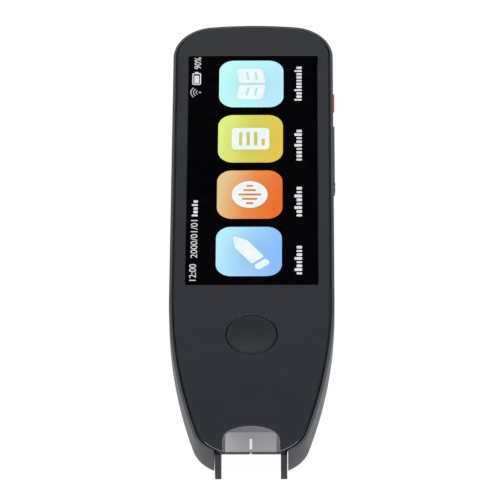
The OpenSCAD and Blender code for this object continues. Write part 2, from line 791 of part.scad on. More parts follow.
module scan_hood() color([0.05, 0.05, 0.05]) difference() {
    bar(hood_w, hood_y, hood_y + hood_len, hood_z, hood_z + hood_h);
    bar(mouth_w, hood_y - over, hood_y + hood_len - hood_wall, hood_z + hood_wall,
        hood_z + hood_h - hood_wall);
}

module scan_cover() color([0.7, 0.75, 0.8, 0.4])
    bar(mouth_w - 2 * fit, hood_y, hood_y + cover_t, optic_z - mouth_h / 2 + fit,
        optic_z + mouth_h / 2 - fit);

camera_y1 = hood_y + hood_len - hood_wall - seat;
camera_y0 = camera_y1 - camera_t;
barrel_len = 2.4;
barrel_y0 = camera_y0 - barrel_len;
lens_d = barrel_d - 1;
lens_t = 0.8;
light_y = barrel_y0 + 0.6;
light_t = 0.5;
led_side = 1.6;
led_t = 0.7;

// Cylinder along +Y on the optical axis
module optic_rod(y0, y1, d, x = 0) translate([x, y0, optic_z]) rotate([-90, 0, 0])
    cylinder(h = y1 - y0, d = d);

module camera_module() color([0.1, 0.1, 0.11]) difference() {
    union() {
        block([-camera_w / 2, camera_y0, optic_z - mouth_h / 2 + fit],
              [camera_w / 2, camera_y1, optic_z + mouth_h / 2 - fit]);
        optic_rod(barrel_y0, camera_y0 + slice, barrel_d);
    }
    optic_rod(barrel_y0 - over, barrel_y0 + lens_t + fit, lens_d + 2 * run_gap);
}

module camera_lens() color([0.3, 0.4, 0.5, 0.5]) optic_rod(barrel_y0, barrel_y0 + lens_t, lens_d);

module scan_leds() color([0.95, 0.9, 0.6]) {
    difference() {
        bar(mouth_w - 2 * fit, light_y, light_y + light_t, optic_z - mouth_h / 2 + fit,
            optic_z + mouth_h / 2 - fit);
        optic_rod(light_y - over, light_y + light_t + over, barrel_d + 2 * fit);
    }
    both_sides() block([mouth_w / 2 - fit - led_side, light_y - led_t, optic_z - led_side / 2],
                       [mouth_w / 2 - fit, light_y + slice, optic_z + led_side / 2]);
}

// ---------- nib trigger ----------

toe_len = 3.5;
heel_z = 2.6;

function leg_side() = rounded(
    [[y_tip, leg_top], [y_tip, leg_top - leg_nose_h], [y_tip + leg_rake, leg_foot],
     [y_tip + leg_rake + toe_len, leg_foot], [leg_back, heel_z], [leg_back, leg_top]],
    [0, 3, 0.4, 2, 0.6, 0]);

module nib_trigger() color([0.23, 0.23, 0.245]) {
    both_sides() {
        translate([leg_x, 0, 0]) rotate([90, 0, 90]) linear_extrude(leg_t) polygon(leg_side());
        block([leg_x, leg_back - slice, arm_z], [legs_w / 2, bar_y + bar_len, leg_top]);
    }
    bar(legs_w, bar_y, bar_y + bar_len, bar_z, leg_top);
}

module trigger_springs() color([0.8, 0.8, 0.82]) both_sides()
    translate([spring_x, spring_y, spring_z])
        coil_spring(spring_d, spring_wire, spring_len, spring_turns);

bore_len = plunger_grip + trigger_travel + 2 * fit;

module plunger_rod(y0, y1, r) translate([0, y0, plunger_z]) rotate([-90, 0, 0])
    cylinder(h = y1 - y0, r = r);

module trigger_switch() color([0.12, 0.12, 0.12]) difference() {
    bar(switch_w, switch_y, switch_y + switch_len, nose_board_top + seat,
        nose_board_top + seat + switch_h);
    plunger_rod(switch_y - over, switch_y + bore_len, plunger_r + run_gap);
}

module switch_plunger() color([0.9, 0.9, 0.88])
    plunger_rod(bar_y + bar_len + seat, switch_y + plunger_grip, plunger_r);

// ---------- front key ----------

tab_reach = 0.45;
button_bevel = 0.2;
dish_rim = 0.7;
stem_z = nose_board_top + button_travel + 2 * seat;

// Half section of the key: dished face, bevelled edge, flange and stem
function button_section() =
    let (rim = button_r - dish_rim, half = asin(rim / dish_r))
    concat([[0, stem_z], [stem_r, stem_z], [stem_r, flange_z], [flange_r, flange_z],
            [flange_r, flange_z + flange_t], [button_r, flange_z + flange_t],
            [button_r, body_t - button_bevel], [button_r - button_bevel, body_t]],
           arc([0, body_t + dish_r * cos(half)], dish_r, -90 + half, -90, 6));

module front_button() color([0.22, 0.22, 0.235]) translate([0, button_y, 0]) {
    rotate_extrude($fn = 96) polygon(button_section());
    bar(2 * (button_r + tab_reach), -button_tab / 2, button_tab / 2, flange_z,
        body_t - button_bevel);
}

pad_ring_w = 1.5;

module button_pad() color([0.3, 0.3, 0.3]) translate([0, button_y, nose_board_top + seat])
    difference() {
        cylinder(h = flange_z - nose_board_top - 2 * seat, r = flange_r - fit);
        translate([0, 0, -over]) cylinder(h = body_t, r = flange_r - fit - pad_ring_w);
    }

module button_dome() color([0.8, 0.8, 0.82]) translate([0, button_y, nose_board_top + seat])
    dome(button_dome_r, button_travel);

// ---------- side keys ----------

stub_r = 0.9;
flange_len = 1.4;
flange_h = 1;
side_dome_r = 1.4;
tip_r = 0.3;
pip_len = 0.6;
pip_out = 0.12;
pip_y = rocker_len / 2 - key_h / 2 - 0.4;

module stub(y) translate([key_flange_x - stub_len, y, key_z]) rotate([0, 90, 0])
    cylinder(h = stub_len + slice, r = stub_r);

// Key with its inner flange, centred at y on the right flank
module side_key(y, len) translate([0, y, key_z]) {
    key_bar(len, key_h, key_flange_x, body_w / 2 + key_proud);
    key_bar(len + flange_len, key_h + flange_h, key_flange_x, key_flange_x + key_flange);
}

module side_dome(y) translate([key_board_x1 + seat, y, key_z]) rotate([0, 90, 0])
    dome(side_dome_r, key_travel);

module power_button() color([0.8, 0.2, 0.25]) {
    side_key(power_y, power_len);
    stub(power_y);
}

module power_dome() color([0.8, 0.8, 0.82]) side_dome(power_y);

module volume_rocker() color([0.3, 0.3, 0.32]) {
    side_key(rocker_y, rocker_len);
    for (s = [-1, 1]) stub(rocker_y + s * rocker_reach);
    // rib that the rocker tips on
    translate([key_board_x1 + seat + tip_r, rocker_y, key_z - key_h / 2])
        cylinder(h = key_h, r = tip_r);
    block([key_board_x1 + seat + tip_r, rocker_y - tip_r, key_z - key_h / 2],
          [key_flange_x + slice, rocker_y + tip_r, key_z + key_h / 2]);
    // two raised pips at the lower end
    for (i = [0, 1]) translate([0, rocker_y - pip_y + 3 * i * pip_len, key_z])
        block([body_w / 2, -pip_len / 2, -key_h / 4],
              [body_w / 2 + key_proud + pip_out, pip_len / 2, key_h / 4]);
}

module volume_domes() color([0.8, 0.8, 0.82]) for (s = [-1, 1]) side_dome(rocker_y + s * rocker_reach);

module key_board() color([0.85, 0.55, 0.2])
    block([key_board_x, rocker_y - rocker_len / 2, key_z - key_h + 0.2],
          [key_board_x1, power_y + power_len / 2 + 1, frame_z - fit]);

// ---------- fasteners ----------

module frame_screws() color([0.6, 0.6, 0.62]) both_sides() {
    screw(frame_screw_top, frame_z + frame_t + seat, screw_len);
    screw(frame_screw_low, frame_z + frame_t + seat, screw_len);
}

module board_screws() color([0.6, 0.6, 0.62]) both_sides() {
    screw(nose_screw, nose_board_top + seat, board_screw_len);
    screw(main_screw, main_top + seat, board_screw_len);
}

rear_housing();
front_panel();
screen_glass();
display_gasket();
display_panel();
backlight();
display_flex();
mid_frame();
battery();
battery_pad();
battery_circuit();
main_board();
shield_cans();
usb_socket();
microphones();
speaker();
speaker_mesh();
wifi_antenna();
link_flex();
nose_board();
scan_hood();
scan_cover();
camera_module();
camera_lens();
scan_leds();
sight_window();
nib_trigger();
trigger_springs();
trigger_switch();
switch_plunger();
front_button();
button_pad();
button_dome();
power_button();
power_dome();
volume_rocker();
volume_domes();
key_board();
frame_screws();
board_screws();
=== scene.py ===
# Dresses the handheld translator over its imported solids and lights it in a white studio. Sizes
# are in millimetres in the part's own frame, and become metres when a mesh is made.

import bpy
import bmesh
import math
import numpy as np
from mathutils import Matrix, Vector
from mathutils.geometry import tessellate_polygon


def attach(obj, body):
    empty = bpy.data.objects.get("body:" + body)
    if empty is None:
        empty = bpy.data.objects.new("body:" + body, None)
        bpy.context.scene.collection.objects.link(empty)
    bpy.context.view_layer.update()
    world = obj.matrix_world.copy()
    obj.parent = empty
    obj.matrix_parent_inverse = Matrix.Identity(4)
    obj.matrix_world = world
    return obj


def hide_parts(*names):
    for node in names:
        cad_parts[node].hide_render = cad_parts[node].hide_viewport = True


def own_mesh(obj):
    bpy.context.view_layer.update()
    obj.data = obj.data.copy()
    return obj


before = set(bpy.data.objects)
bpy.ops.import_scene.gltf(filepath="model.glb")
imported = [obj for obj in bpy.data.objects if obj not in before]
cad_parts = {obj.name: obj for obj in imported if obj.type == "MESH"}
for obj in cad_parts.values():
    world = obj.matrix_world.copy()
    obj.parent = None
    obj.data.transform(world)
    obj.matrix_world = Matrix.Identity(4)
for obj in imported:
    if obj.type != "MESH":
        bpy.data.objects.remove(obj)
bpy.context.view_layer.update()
mm = 0.001

view = {"target": (-0.51, -6.57, 12.0), "azimuth": 0.81, "elevation": 48.709, "roll": -0.724,
        "distance": 1374.2, "lens": 387.4, "clip": (0.01, 50)}


def put(name, data, sides=None, spot=None):
    # links an object for data; given sides and a spot, its own x, y and z lie along them there
    piece = bpy.data.objects.new(name, data)
    bpy.context.scene.collection.objects.link(piece)
    if sides:
        piece.matrix_world = Matrix.Translation(spot) @ Matrix(sides).transposed().to_4x4()
    return piece


def placeCamera():
    # back points from the target to the camera; right and up are turned about it by the roll
    az, el, roll = (math.radians(view[k]) for k in ("azimuth", "elevation", "roll"))
    back = Vector((math.sin(az) * math.cos(el), -math.cos(az) * math.cos(el), math.sin(el)))
    level = Vector((math.cos(az), math.sin(az), 0))
    rise = back.cross(level)
    right = level * math.cos(roll) + rise * math.sin(roll)
    up = rise * math.cos(roll) - level * math.sin(roll)
    optics = bpy.data.cameras.new("camera")
    optics.lens = view["lens"]
    optics.clip_start, optics.clip_end = view["clip"]
    bpy.context.scene.camera = put("camera", optics, (right, up, back),
                                   (Vector(view["target"]) + back * view["distance"]) * mm)


placeCamera()
print("camera placed")


class Wire:
    # one output of a shader tree; arithmetic on it adds Math nodes

    def __init__(self, tree, socket=None):
        self.tree, self.socket = tree, socket

    def make(self, kind, values=None, out=0, **settings):
        # adds a node: its settings first, then a value or a link for each named socket
        node = self.tree.nodes.new("ShaderNode" + kind)
        for key, value in settings.items():
            if key == "stops":
                elements = node.color_ramp.elements
                while len(elements) < len(value):
                    elements.new(0.5)
                for stop, (share, colour) in zip(elements, value):
                    stop.position, stop.color = share, (*colour, 1)
            else:
                setattr(node, key, value)
        for key, value in (values or {}).items():
            if isinstance(value, Wire):
                self.tree.links.new(value.socket, node.inputs[key])
            else:
                node.inputs[key].default_value = value
        return Wire(self.tree, node.outputs[out] if node.outputs else None)

    def maths(self, operation, *parts):
        return self.make("Math", dict(enumerate(parts)), operation=operation)


for sign, operation in (("add", "ADD"), ("sub", "SUBTRACT"), ("mul", "MULTIPLY"),
                        ("truediv", "DIVIDE"), ("gt", "GREATER_THAN"), ("lt", "LESS_THAN")):
    # each operator, and its reflected form for a number that stands before it
    setattr(Wire, f"__{sign}__", lambda a, b, name=operation: a.maths(name, a, b))
    setattr(Wire, f"__r{sign}__", lambda a, b, name=operation: a.maths(name, b, a))

finishes = {}


def noise(wire, spot, scale, detail=2.0):
    # soft cloud from 0 to 1, finer with the scale
    return wire.make("TexNoise", {"Vector": spot, "Scale": scale, "Detail": detail})


def ramp(share, *stops):
    # colour that follows share through (place, colour) stops
    return share.make("ValToRGB", {"Fac": share}, stops=stops)


def blend(share, first, second):
    # first where share is zero, second where it is one
    return share.make("Mix", {"Factor": share, 6: first, 7: second}, 2, data_type="RGBA")


def bump(height, strength, distance):
    # normal of a relief that follows height
    return height.make("Bump", {"Height": height, "Strength": strength, "Distance": distance})


def axis(spot, k):
    # one coordinate: 0 for x, 1 for y, 2 for z
    return spot.make("SeparateXYZ", {"Vector": spot}, k)


def fromScreen(red, green, blue):
    # linear colour of a screen colour given as 0 to 255
    return tuple((c / 255 / 12.92) if c <= 10 else ((c / 255 + 0.055) / 1.055) ** 2.4
                 for c in (red, green, blue))


def emptyTree(holder):
    # a cleared shader tree to add nodes to
    holder.use_nodes = True
    holder.node_tree.nodes.clear()
    return Wire(holder.node_tree)


def newMaterial(name, stretch=(1, 1, 1)):
    # adds an empty finish: its tree, and object coordinates in millimetres times stretch
    finishes[name] = bpy.data.materials.new(name)
    wire = emptyTree(finishes[name])
    return wire, wire.make("Mapping", {"Vector": wire.make("TexCoord", out=3),
                                       "Scale": tuple(1000 * k for k in stretch)},
                           vector_type="POINT")


def finish(wire, values, kind="BsdfPrincipled"):
    # closes a material with one shader of the given kind
    wire.make("OutputMaterial", {"Surface": wire.make(kind, values)})


# settings of the moulding; the last four paint shade on the bevels
moulded = {"driftScale": 0.16, "driftShare": 0.7, "sheen": (0.94, 0.12), "grainHeight": 0.00004,
           "coatRoughness": 0.08, "bevelRise": (0.3, 0.93), "polish": 0.75, "polishPast": -0.2,
           "bevelShadeShare": 0.85, "bevelShadeFrom": 0.3, "bevelShadeFull": 0.02, "black": (0.001, 0.001, 0.0012)}


def plastic(name, colour, roughness, grain=0.0, grainSize=0.12, mottle=0.06, specular=0.5,
            coat=0.0, metallic=0.0, alpha=1.0, polishedAndShadedEdge=False):
    # moulded finish: colour and roughness drift a little, and a fine grain stands on the surface;
    # when asked, the bevels also get painted shade
    m, (wire, spot) = moulded, newMaterial(name)
    drift, fine = noise(wire, spot, m["driftScale"], 3.0), noise(wire, spot, 1 / grainSize)
    dark, light = (tuple(min(1.0, c * (1 + change)) for c in fromScreen(*colour))
                   for change in (-mottle, mottle))
    tint = ramp(drift * m["driftShare"] + fine * (1 - m["driftShare"]), (0.35, dark), (0.65, light))
    values = {"Base Color": tint, "Roughness": roughness * (m["sheen"][0] + m["sheen"][1] * fine),
              "Metallic": metallic, "Specular IOR Level": specular, "Coat Weight": coat,
              "Coat Roughness": m["coatRoughness"], "Alpha": alpha}
    if polishedAndShadedEdge:
        # painted shade: bevels are painted near black, standing in for the shade along the edges
        # and openings, but for those that face the top end; those that face the nose are polished
        facing = wire.make("TexCoord", out=1)
        ahead, rise = axis(facing, 1), axis(facing, 2)
        bevel = (rise < m["bevelRise"][1]) * (rise > m["bevelRise"][0])
        black = wire.make("MapRange", {"Value": ahead, "From Min": m["bevelShadeFrom"],
                                       "From Max": m["bevelShadeFull"]})
        values["Coat Weight"] = bevel * (ahead < m["polishPast"]) * m["polish"]
        # painted shade: the bevels' colour is blended towards near black
        values["Base Color"] = blend(bevel * black * m["bevelShadeShare"], tint, (*m["black"], 1))
    if grain:
        values["Normal"] = bump(fine, grain, m["grainHeight"])
    finish(wire, values)


def brushed(name, colour, roughness, across=(1.0, 12.0, 1.0), wear=0.1):
    # metal with fine lines drawn along one axis
    wire, spot = newMaterial(name, across)
    lines, bright = noise(wire, spot, 1.4, 4.0), fromScreen(*colour)
    tint = ramp(lines, (0.3, tuple(c * (1 - wear) for c in bright)), (0.7, bright))
    finish(wire, {"Base Color": tint, "Metallic": 1.0, "Roughness": roughness * (0.8 + 0.4 * lines),
                  "Normal": bump(lines, 0.15, 0.00002)})


def boardCoat(name, mask, copper, pitch=5.2):
    # solder mask with lighter tracks running both ways under it and bare vias
    wire, spot = newMaterial(name)
    rows, columns = (wire.maths("SINE", axis(spot, k) * pitch) > 0.55 for k in (0, 1))
    patch = noise(wire, spot, 0.45, 1.0)
    tracks = rows * (patch > 0.5) + columns * (patch < 0.5)
    vias = wire.make("TexVoronoi", {"Vector": spot, "Scale": 0.55},
                     feature="DISTANCE_TO_EDGE") > 0.62
    tint = blend(tracks * 0.5, (*fromScreen(*mask), 1), (*fromScreen(*copper), 1))
    finish(wire, {"Base Color": tint, "Roughness": 0.35 + 0.2 * tracks, "Metallic": vias * 0.6,
                  "Coat Weight": 0.4})


def meshCloth(name, pitch=21.0):
    # woven wire cloth: two crossed sets of fine threads
    wire, spot = newMaterial(name)
    threads = wire.maths("MAXIMUM", *(wire.maths("SINE", axis(spot, k) * pitch) for k in (0, 1)))
    tint = ramp(threads, (0.2, fromScreen(14, 14, 15)), (0.8, fromScreen(96, 97, 100)))
    finish(wire, {"Base Color": tint, "Roughness": 0.45, "Metallic": threads * 0.5,
                  "Normal": bump(threads, 0.6, 0.00005)})


def blackGlass(name):
    # near-black glass with a faint dull drift, so that it stays deep under soft light
    wire, spot = newMaterial(name)
    fine = noise(wire, spot, 0.3)
    tint = ramp(fine, (0.3, (0.0006, 0.0006, 0.0009)), (0.7, (0.0014, 0.0014, 0.002)))
    finish(wire, {"Base Color": tint, "Roughness": 0.06 + 0.03 * fine, "Specular IOR Level": 0.005})


def lit(wire, tint):
    # a picture's surface: it gives off its colour and reflects almost nothing
    finish(wire, {"Base Color": (0.004, 0.004, 0.004, 1), "Emission Color": tint,
                  "Emission Strength": 1.0, "Roughness": 0.3, "Specular IOR Level": 0.05})


def litMark(name, low, high):
    # lit white or grey mark whose tone drifts between two screen colours
    wire, spot = newMaterial(name)
    lit(wire, ramp(noise(wire, spot, 0.4), (0.3, fromScreen(*low)), (0.7, fromScreen(*high))))


plastics = {  # screen colour, roughness and what else departs from a plain moulding
    "housingPlastic": ((54, 54, 62), 0.48, {"grain": 0.3, "specular": 0.38}),
    "panelPlastic": ((28, 29, 35), 0.3, {"grain": 0.05, "mottle": 0.04, "specular": 0.2,
                                         "polishedAndShadedEdge": True}),
    "keyPlastic": ((25, 26, 31), 0.28, {"grain": 0.05, "mottle": 0.04, "specular": 0.22}),
    "triggerPlastic": ((26, 25, 31), 0.4, {"grain": 0.2, "specular": 0.3}),
    "sideKeyPlastic": ((62, 61, 66), 0.38, {"grain": 0.2}),
    "redPlastic": ((168, 44, 56), 0.3, {"grain": 0.05, "mottle": 0.05}),
    "blackPlastic": ((24, 24, 26), 0.5, {"grain": 0.3}),
    "whitePlastic": ((226, 226, 222), 0.4, {"grain": 0.1, "mottle": 0.03}),
    "markPaint": ((186, 186, 191), 0.4, {"mottle": 0.02, "specular": 0.1}),
    "siliconeRubber": ((70, 70, 72), 0.62, {"grain": 0.2}),
    "foamPad": ((34, 34, 36), 0.9, {"grain": 0.9, "grainSize": 0.3, "mottle": 0.2}),
    "paleGlass": ((190, 205, 214), 0.08, {"coat": 0.6, "alpha": 0.25}),
    "lensGlass": ((18, 22, 40), 0.05, {"coat": 1.0, "mottle": 0.15}),
    "panelCell": ((28, 30, 36), 0.2, {"coat": 0.5, "mottle": 0.1}),
    "ledWhite": ((244, 232, 170), 0.3, {"coat": 0.5}),
    "foilWrap": ((196, 200, 206), 0.32, {"metallic": 0.7, "grain": 0.4, "grainSize": 0.6,
                                         "mottle": 0.12}),
    "flexFilm": ((206, 128, 44), 0.35, {"coat": 0.3, "mottle": 0.12})}
metals = {  # screen colour, roughness and how closely the lines lie along x, y and z
    "goldPlate": ((224, 186, 104), 0.3, (1.0, 12.0, 1.0)),
    "frameMetal": ((200, 202, 206), 0.38, (12.0, 1.0, 1.0)),
    "sheetSteel": ((206, 207, 210), 0.3, (1.0, 12.0, 1.0)),
    "springSteel": ((196, 197, 200), 0.26, (3.0, 3.0, 3.0)),
    "screwSteel": ((150, 151, 156), 0.34, (6.0, 6.0, 1.0))}
lights = {"glyphLight": ((226, 244, 246), (246, 250, 250)),
          "markLight": ((208, 209, 210), (236, 236, 236)),
          "dimLight": ((150, 152, 154), (176, 178, 180))}
boardCoat("boardMask", (20, 84, 52), (52, 128, 84))
meshCloth("meshCloth")
blackGlass("blackGlass")
for name, (colour, roughness, more) in plastics.items():
    plastic(name, colour, roughness, **more)
for maker, rows in ((brushed, metals), (litMark, lights)):
    for name, row in rows.items():
        maker(name, *row)
worn = {"foamPad": "display_gasket battery_pad", "panelCell": "display_panel",
        "whitePlastic": "backlight switch_plunger", "frameMetal": "mid_frame",
        "flexFilm": "display_flex wifi_antenna link_flex key_board", "foilWrap": "battery",
        "boardMask": "battery_circuit main_board nose_board", "sheetSteel": "shield_cans",
        "blackPlastic": "speaker scan_hood camera_module trigger_switch",
        "goldPlate": "microphones", "meshCloth": "speaker_mesh", "paleGlass": "scan_cover",
        "lensGlass": "camera_lens", "ledWhite": "scan_leds",
        "screwSteel": "frame_screws board_screws"}
for finishName, nodeNames in worn.items():
    for nodeName in nodeNames.split():
        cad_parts[nodeName].data.materials.clear()
        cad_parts[nodeName].data.materials.append(finishes[finishName])
print("finishes made")


def smooth(mesh, sharp):
    # shades smooth but for edges that turn by more than sharp degrees
    mesh.shade_smooth()
    mesh.set_sharp_from_angle(angle=math.radians(sharp))


def addMesh(name, parts, finishing, body="pen", sharp=32, replaces=None):
    # parts are (points, faces) in millimetres, joined to one mesh whose doubles are merged
    points, faces, base = [], [], 0
    for spots, polygons in parts:
        points.append(np.asarray(spots, float).reshape(-1, 3))
        faces += [[int(k) + base for k in polygon] for polygon in polygons]
        base += len(points[-1])
    mesh = bpy.data.meshes.new(name)
    mesh.from_pydata((np.concatenate(points) * mm).tolist(), [], faces)
    work = bmesh.new()
    work.from_mesh(mesh)
    bmesh.ops.remove_doubles(work, verts=work.verts, dist=2e-7)
    bmesh.ops.dissolve_degenerate(work, dist=1e-7, edges=work.edges)
    work.to_mesh(mesh)
    work.free()
    mesh.update()
    smooth(mesh, sharp)
    mesh.materials.append(finishes[finishing])
    piece = put(name, mesh)
    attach(piece, body)
    if replaces:
        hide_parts(replaces)
    return piece


def skin(rings):
    # quads between rings of equal count, listed bottom up and anticlockwise seen from above
    rings = np.asarray(rings)
    m, n = rings.shape[:2]
    i, j = np.meshgrid(np.arange(m - 1), np.arange(n), indexing="ij")
    a, b, k = i * n, (i + 1) * n, (j + 1) % n
    return rings.reshape(-1, 3), np.stack([a + j, a + k, b + k, b + j], -1).reshape(-1, 4)


def lid(loops, up=True):
    # flat cap inside the first loop and outside the others, as triangles facing up or down
    flat = np.concatenate(loops)
    tris = np.array(tessellate_polygon([[Vector(p) for p in loop] for loop in loops]))
    a, b, c = flat[tris[:, 0]], flat[tris[:, 1]], flat[tris[:, 2]]
    turn = np.cross(b - a, c - a)
    wrong = (turn[:, np.argmax(np.abs(turn).sum(0))] > 0) != up
    tris[wrong] = tris[wrong][:, ::-1]
    return flat, tris


def closed(*walls):
    # skin over each wall's rings, with one flat lid over all their ends at the foot and the top
    return [skin(rings) for rings in walls] + [lid([rings[0] for rings in walls], False),
                                               lid([rings[-1] for rings in walls], True)]


def moved(parts, shift):
    # each point plus the shift
    return [(points + np.array(shift), faces) for points, faces in parts]


def turned(parts, order, shift=(0, 0, 0)):
    # lays the parts' own x, y and z along other axes; an odd turn flips the faces
    odd = np.linalg.det(np.eye(3)[list(order)]) < 0
    return moved([(points[:, list(order)], [f[::-1] for f in faces] if odd else faces)
                  for points, faces in parts], shift)


def arc(centre, radius, start, end, count):
    # points on a circle from one angle to another, in degrees
    a = np.radians(np.linspace(start, end, count))
    return np.stack([centre[0] + radius * np.cos(a), centre[1] + radius * np.sin(a)], -1)


def slope(dx, dy):
    # angle of a direction, in degrees
    return math.degrees(math.atan2(dy, dx))


def line(x0, x1, y0, y1, count):
    # points spread evenly from (x0, y0) to (x1, y1)
    return np.column_stack([np.linspace(x0, x1, count), np.linspace(y0, y1, count)])


def chain(*curves):
    # curves joined end to end, with each shared point once
    return np.concatenate([curve[:-1] for curve in curves[:-1]] + [curves[-1]])


def raised(loop, z):
    # a flat loop lifted to height z
    return np.column_stack([loop, np.full(len(loop), z)])


def drawIn(loop, depth):
    # moves each point of a closed 2D loop to its left by depth, with mitred corners
    normals = []
    for t in (loop - np.roll(loop, 1, 0), np.roll(loop, -1, 0) - loop):
        t = t / np.linalg.norm(t, axis=1)[:, None]
        normals.append(np.stack([-t[:, 1], t[:, 0]], -1))
    bend = normals[0] + normals[1]
    bend /= np.maximum((bend * normals[0]).sum(1), 0.35)[:, None]
    return loop + depth * bend


def quarter(radius, count):
    # (in, down) of points round a quarter circle: radius less its cosine and its sine
    return [(radius * (1 - math.cos(a)), radius * (1 - math.sin(a)))
            for a in np.radians(np.linspace(0, 90, count))]


def roundProfile(low, high, foot, top, steps=4, support=0.06):
    # (depth, height) of a wall whose two edges are rounded, with a narrow flat past each
    ends = [[(inward, level - sign * down) for inward, down in quarter(radius, steps + 1)]
            + [(radius + support, level)] if radius > 0 else [(0.0, level)]
            for radius, level, sign in ((foot, low, -1), (top, high, 1))]
    return ends[0][::-1] + ends[1]


def carry(loop, rows):
    # rings at rows of depth, height and what else the loop takes, if it is a function and not
    # points to draw in by the depth
    return [raised(loop(d, *more) if callable(loop) else drawIn(loop, d), z)
            for d, z, *more in rows]


def slab(loops, low, high, foot=0.0, top=0.0, steps=4):
    # plate with holes: every loop carries the rounded wall profile, and lids close it
    return closed(*(carry(loop, roundProfile(low, high, foot, top, steps)) for loop in loops))


def alongX(loop, x0, x1, y=0.0, z=0.0, foot=0.0, top=0.0):
    # a loop drawn in (y, z) and carried along +X
    return turned(slab([loop], x0, x1, foot, top), (2, 0, 1), (0, y, z))


def alongY(loop, y0, y1, x, z, top=0.0):
    # a loop drawn in (x, z) and carried along +Y
    return turned(slab([loop], y0, y1, 0.0, top), (0, 2, 1), (x, 0, z))


def stadium(length, width, count=16):
    # loop of a bar with round ends, long axis along the first coordinate
    h = length / 2 - width / 2
    return np.concatenate([arc((h, 0), width / 2, -90, 90, count),
                           arc((-h, 0), width / 2, 90, 270, count)])


def roundRect(x0, x1, y0, y1, radius, count=7):
    # loop of four quarter circles, which the sides join
    r = radius
    corners = ((x1 - r, y0 + r), (x1 - r, y1 - r), (x0 + r, y1 - r), (x0 + r, y0 + r))
    return np.concatenate([arc(spot, r, 90 * k - 90, 90 * k, count)
                           for k, spot in enumerate(corners)])


def about(middle, half):
    # the two ends that lie half to each side of the middle
    return middle - half, middle + half


def softBox(x, y, z, radius=0.12, steps=3):
    # box between three pairs of ends: a rounded plan carried up a rounded profile
    r = min(radius, 0.45 * min(high - low for low, high in (x, y, z)))
    return slab([roundRect(*x, *y, r, 4)], *z, r * 0.9, r * 0.9, steps)


def filletLoop(points, radii, count=6):
    # each corner of the polygon is replaced by an arc tangent to its two sides
    points, rows = np.array(points, float), []
    for p, before, after, radius in zip(points, np.roll(points, 1, 0), np.roll(points, -1, 0),
                                        radii):
        u, w = ((q - p) / np.linalg.norm(q - p) for q in (before, after))
        half = math.acos(float(u @ w)) / 2
        middle = p + (u + w) / np.linalg.norm(u + w) * radius / math.sin(half)
        a, b = (slope(*(p + side * radius / math.tan(half) - middle)) for side in (u, w))
        rows.append(arc(middle, radius, a, a + (b - a + 540) % 360 - 180, count))
    return np.concatenate(rows)


def revolve(section, steps=144):
    # turns a (radius, height) section, listed bottom up on the outside, round the Z axis
    turn = np.linspace(0, 2 * math.pi, steps, endpoint=False)
    radius, height = np.asarray(section).T
    return np.stack([np.outer(radius, np.cos(turn)), np.outer(radius, np.sin(turn)),
                     np.outer(height, np.ones(steps))], -1)


def settledMesh(piece):
    # the piece's mesh with its modifiers or its text worked out
    bpy.context.view_layer.update()
    return bpy.data.meshes.new_from_object(
        piece.evaluated_get(bpy.context.evaluated_depsgraph_get()))


def cutAway(piece, cuts):
    # takes the cutters' volumes out of a closed piece and keeps the result as its mesh
    tool = addMesh("cutter", cuts, piece.data.materials[0].name)
    modifier = piece.modifiers.new("cut", "BOOLEAN")
    modifier.operation, modifier.solver, modifier.object = "DIFFERENCE", "EXACT", tool
    piece.data = settledMesh(piece)
    piece.modifiers.clear()
    bpy.data.objects.remove(tool)
    smooth(piece.data, 32)


print("helpers ready")

hull = {"length": 145.8, "width": 42.0, "thickness": 12.0, "wall": 1.6, "backWall": 1.2,
        "backRound": 5.0, "topCorner": 11.0, "crown": 105.0, "taper": 152.0,
        "taperLength": 50.4, "noseCorner": 9.8, "noseRake": 1.8, "noseRakeHeight": 8.0,
        "rim": 0.75, "gapRelief": 0.05, "panelGap": 0.2, "panelThickness": 1.3, "panelProud": 0.3,
        "legProud": 0.1, "notchDepth": 17.3, "notchWidth": 18.4, "notchWall": 1.2,
        "notchFillet": 0.35, "notchRound": 0.3, "seat": 0.04, "rimRound": 0.16, "noseEnd": -50.0,
        "wallLevels": (7.0, 8.0, 9.5)}

wallX, topY, faceZ = hull["width"] / 2, hull["length"] / 2, hull["thickness"]
tipY = -topY
panelY = tipY + hull["legProud"]
panelInset = hull["rim"] + hull["panelGap"]
noseY = panelY - panelInset
taperY = panelY + hull["taperLength"]
notchY = panelY + hull["notchDepth"]
panelZ = faceZ - hull["panelThickness"]
rimZ = faceZ - hull["panelProud"]
seatZ = panelZ - hull["seat"]


def shoulder(x, start, top, corner, crown, grow, counts):
    # right half of a plan's far end, grown all round: straight flank, round corner and low crown,
    # each tangent to the next
    cx, crownY = x - corner, top - crown
    cy = crownY + math.sqrt((crown - corner) ** 2 - cx * cx)
    turn = slope(cx, cy - crownY)
    return chain(line(x + grow, x + grow, start, cy, counts[0]),
                 arc((cx, cy), corner + grow, 0, turn, counts[1]),
                 arc((0, crownY), crown + grow, turn, 90, counts[2]))


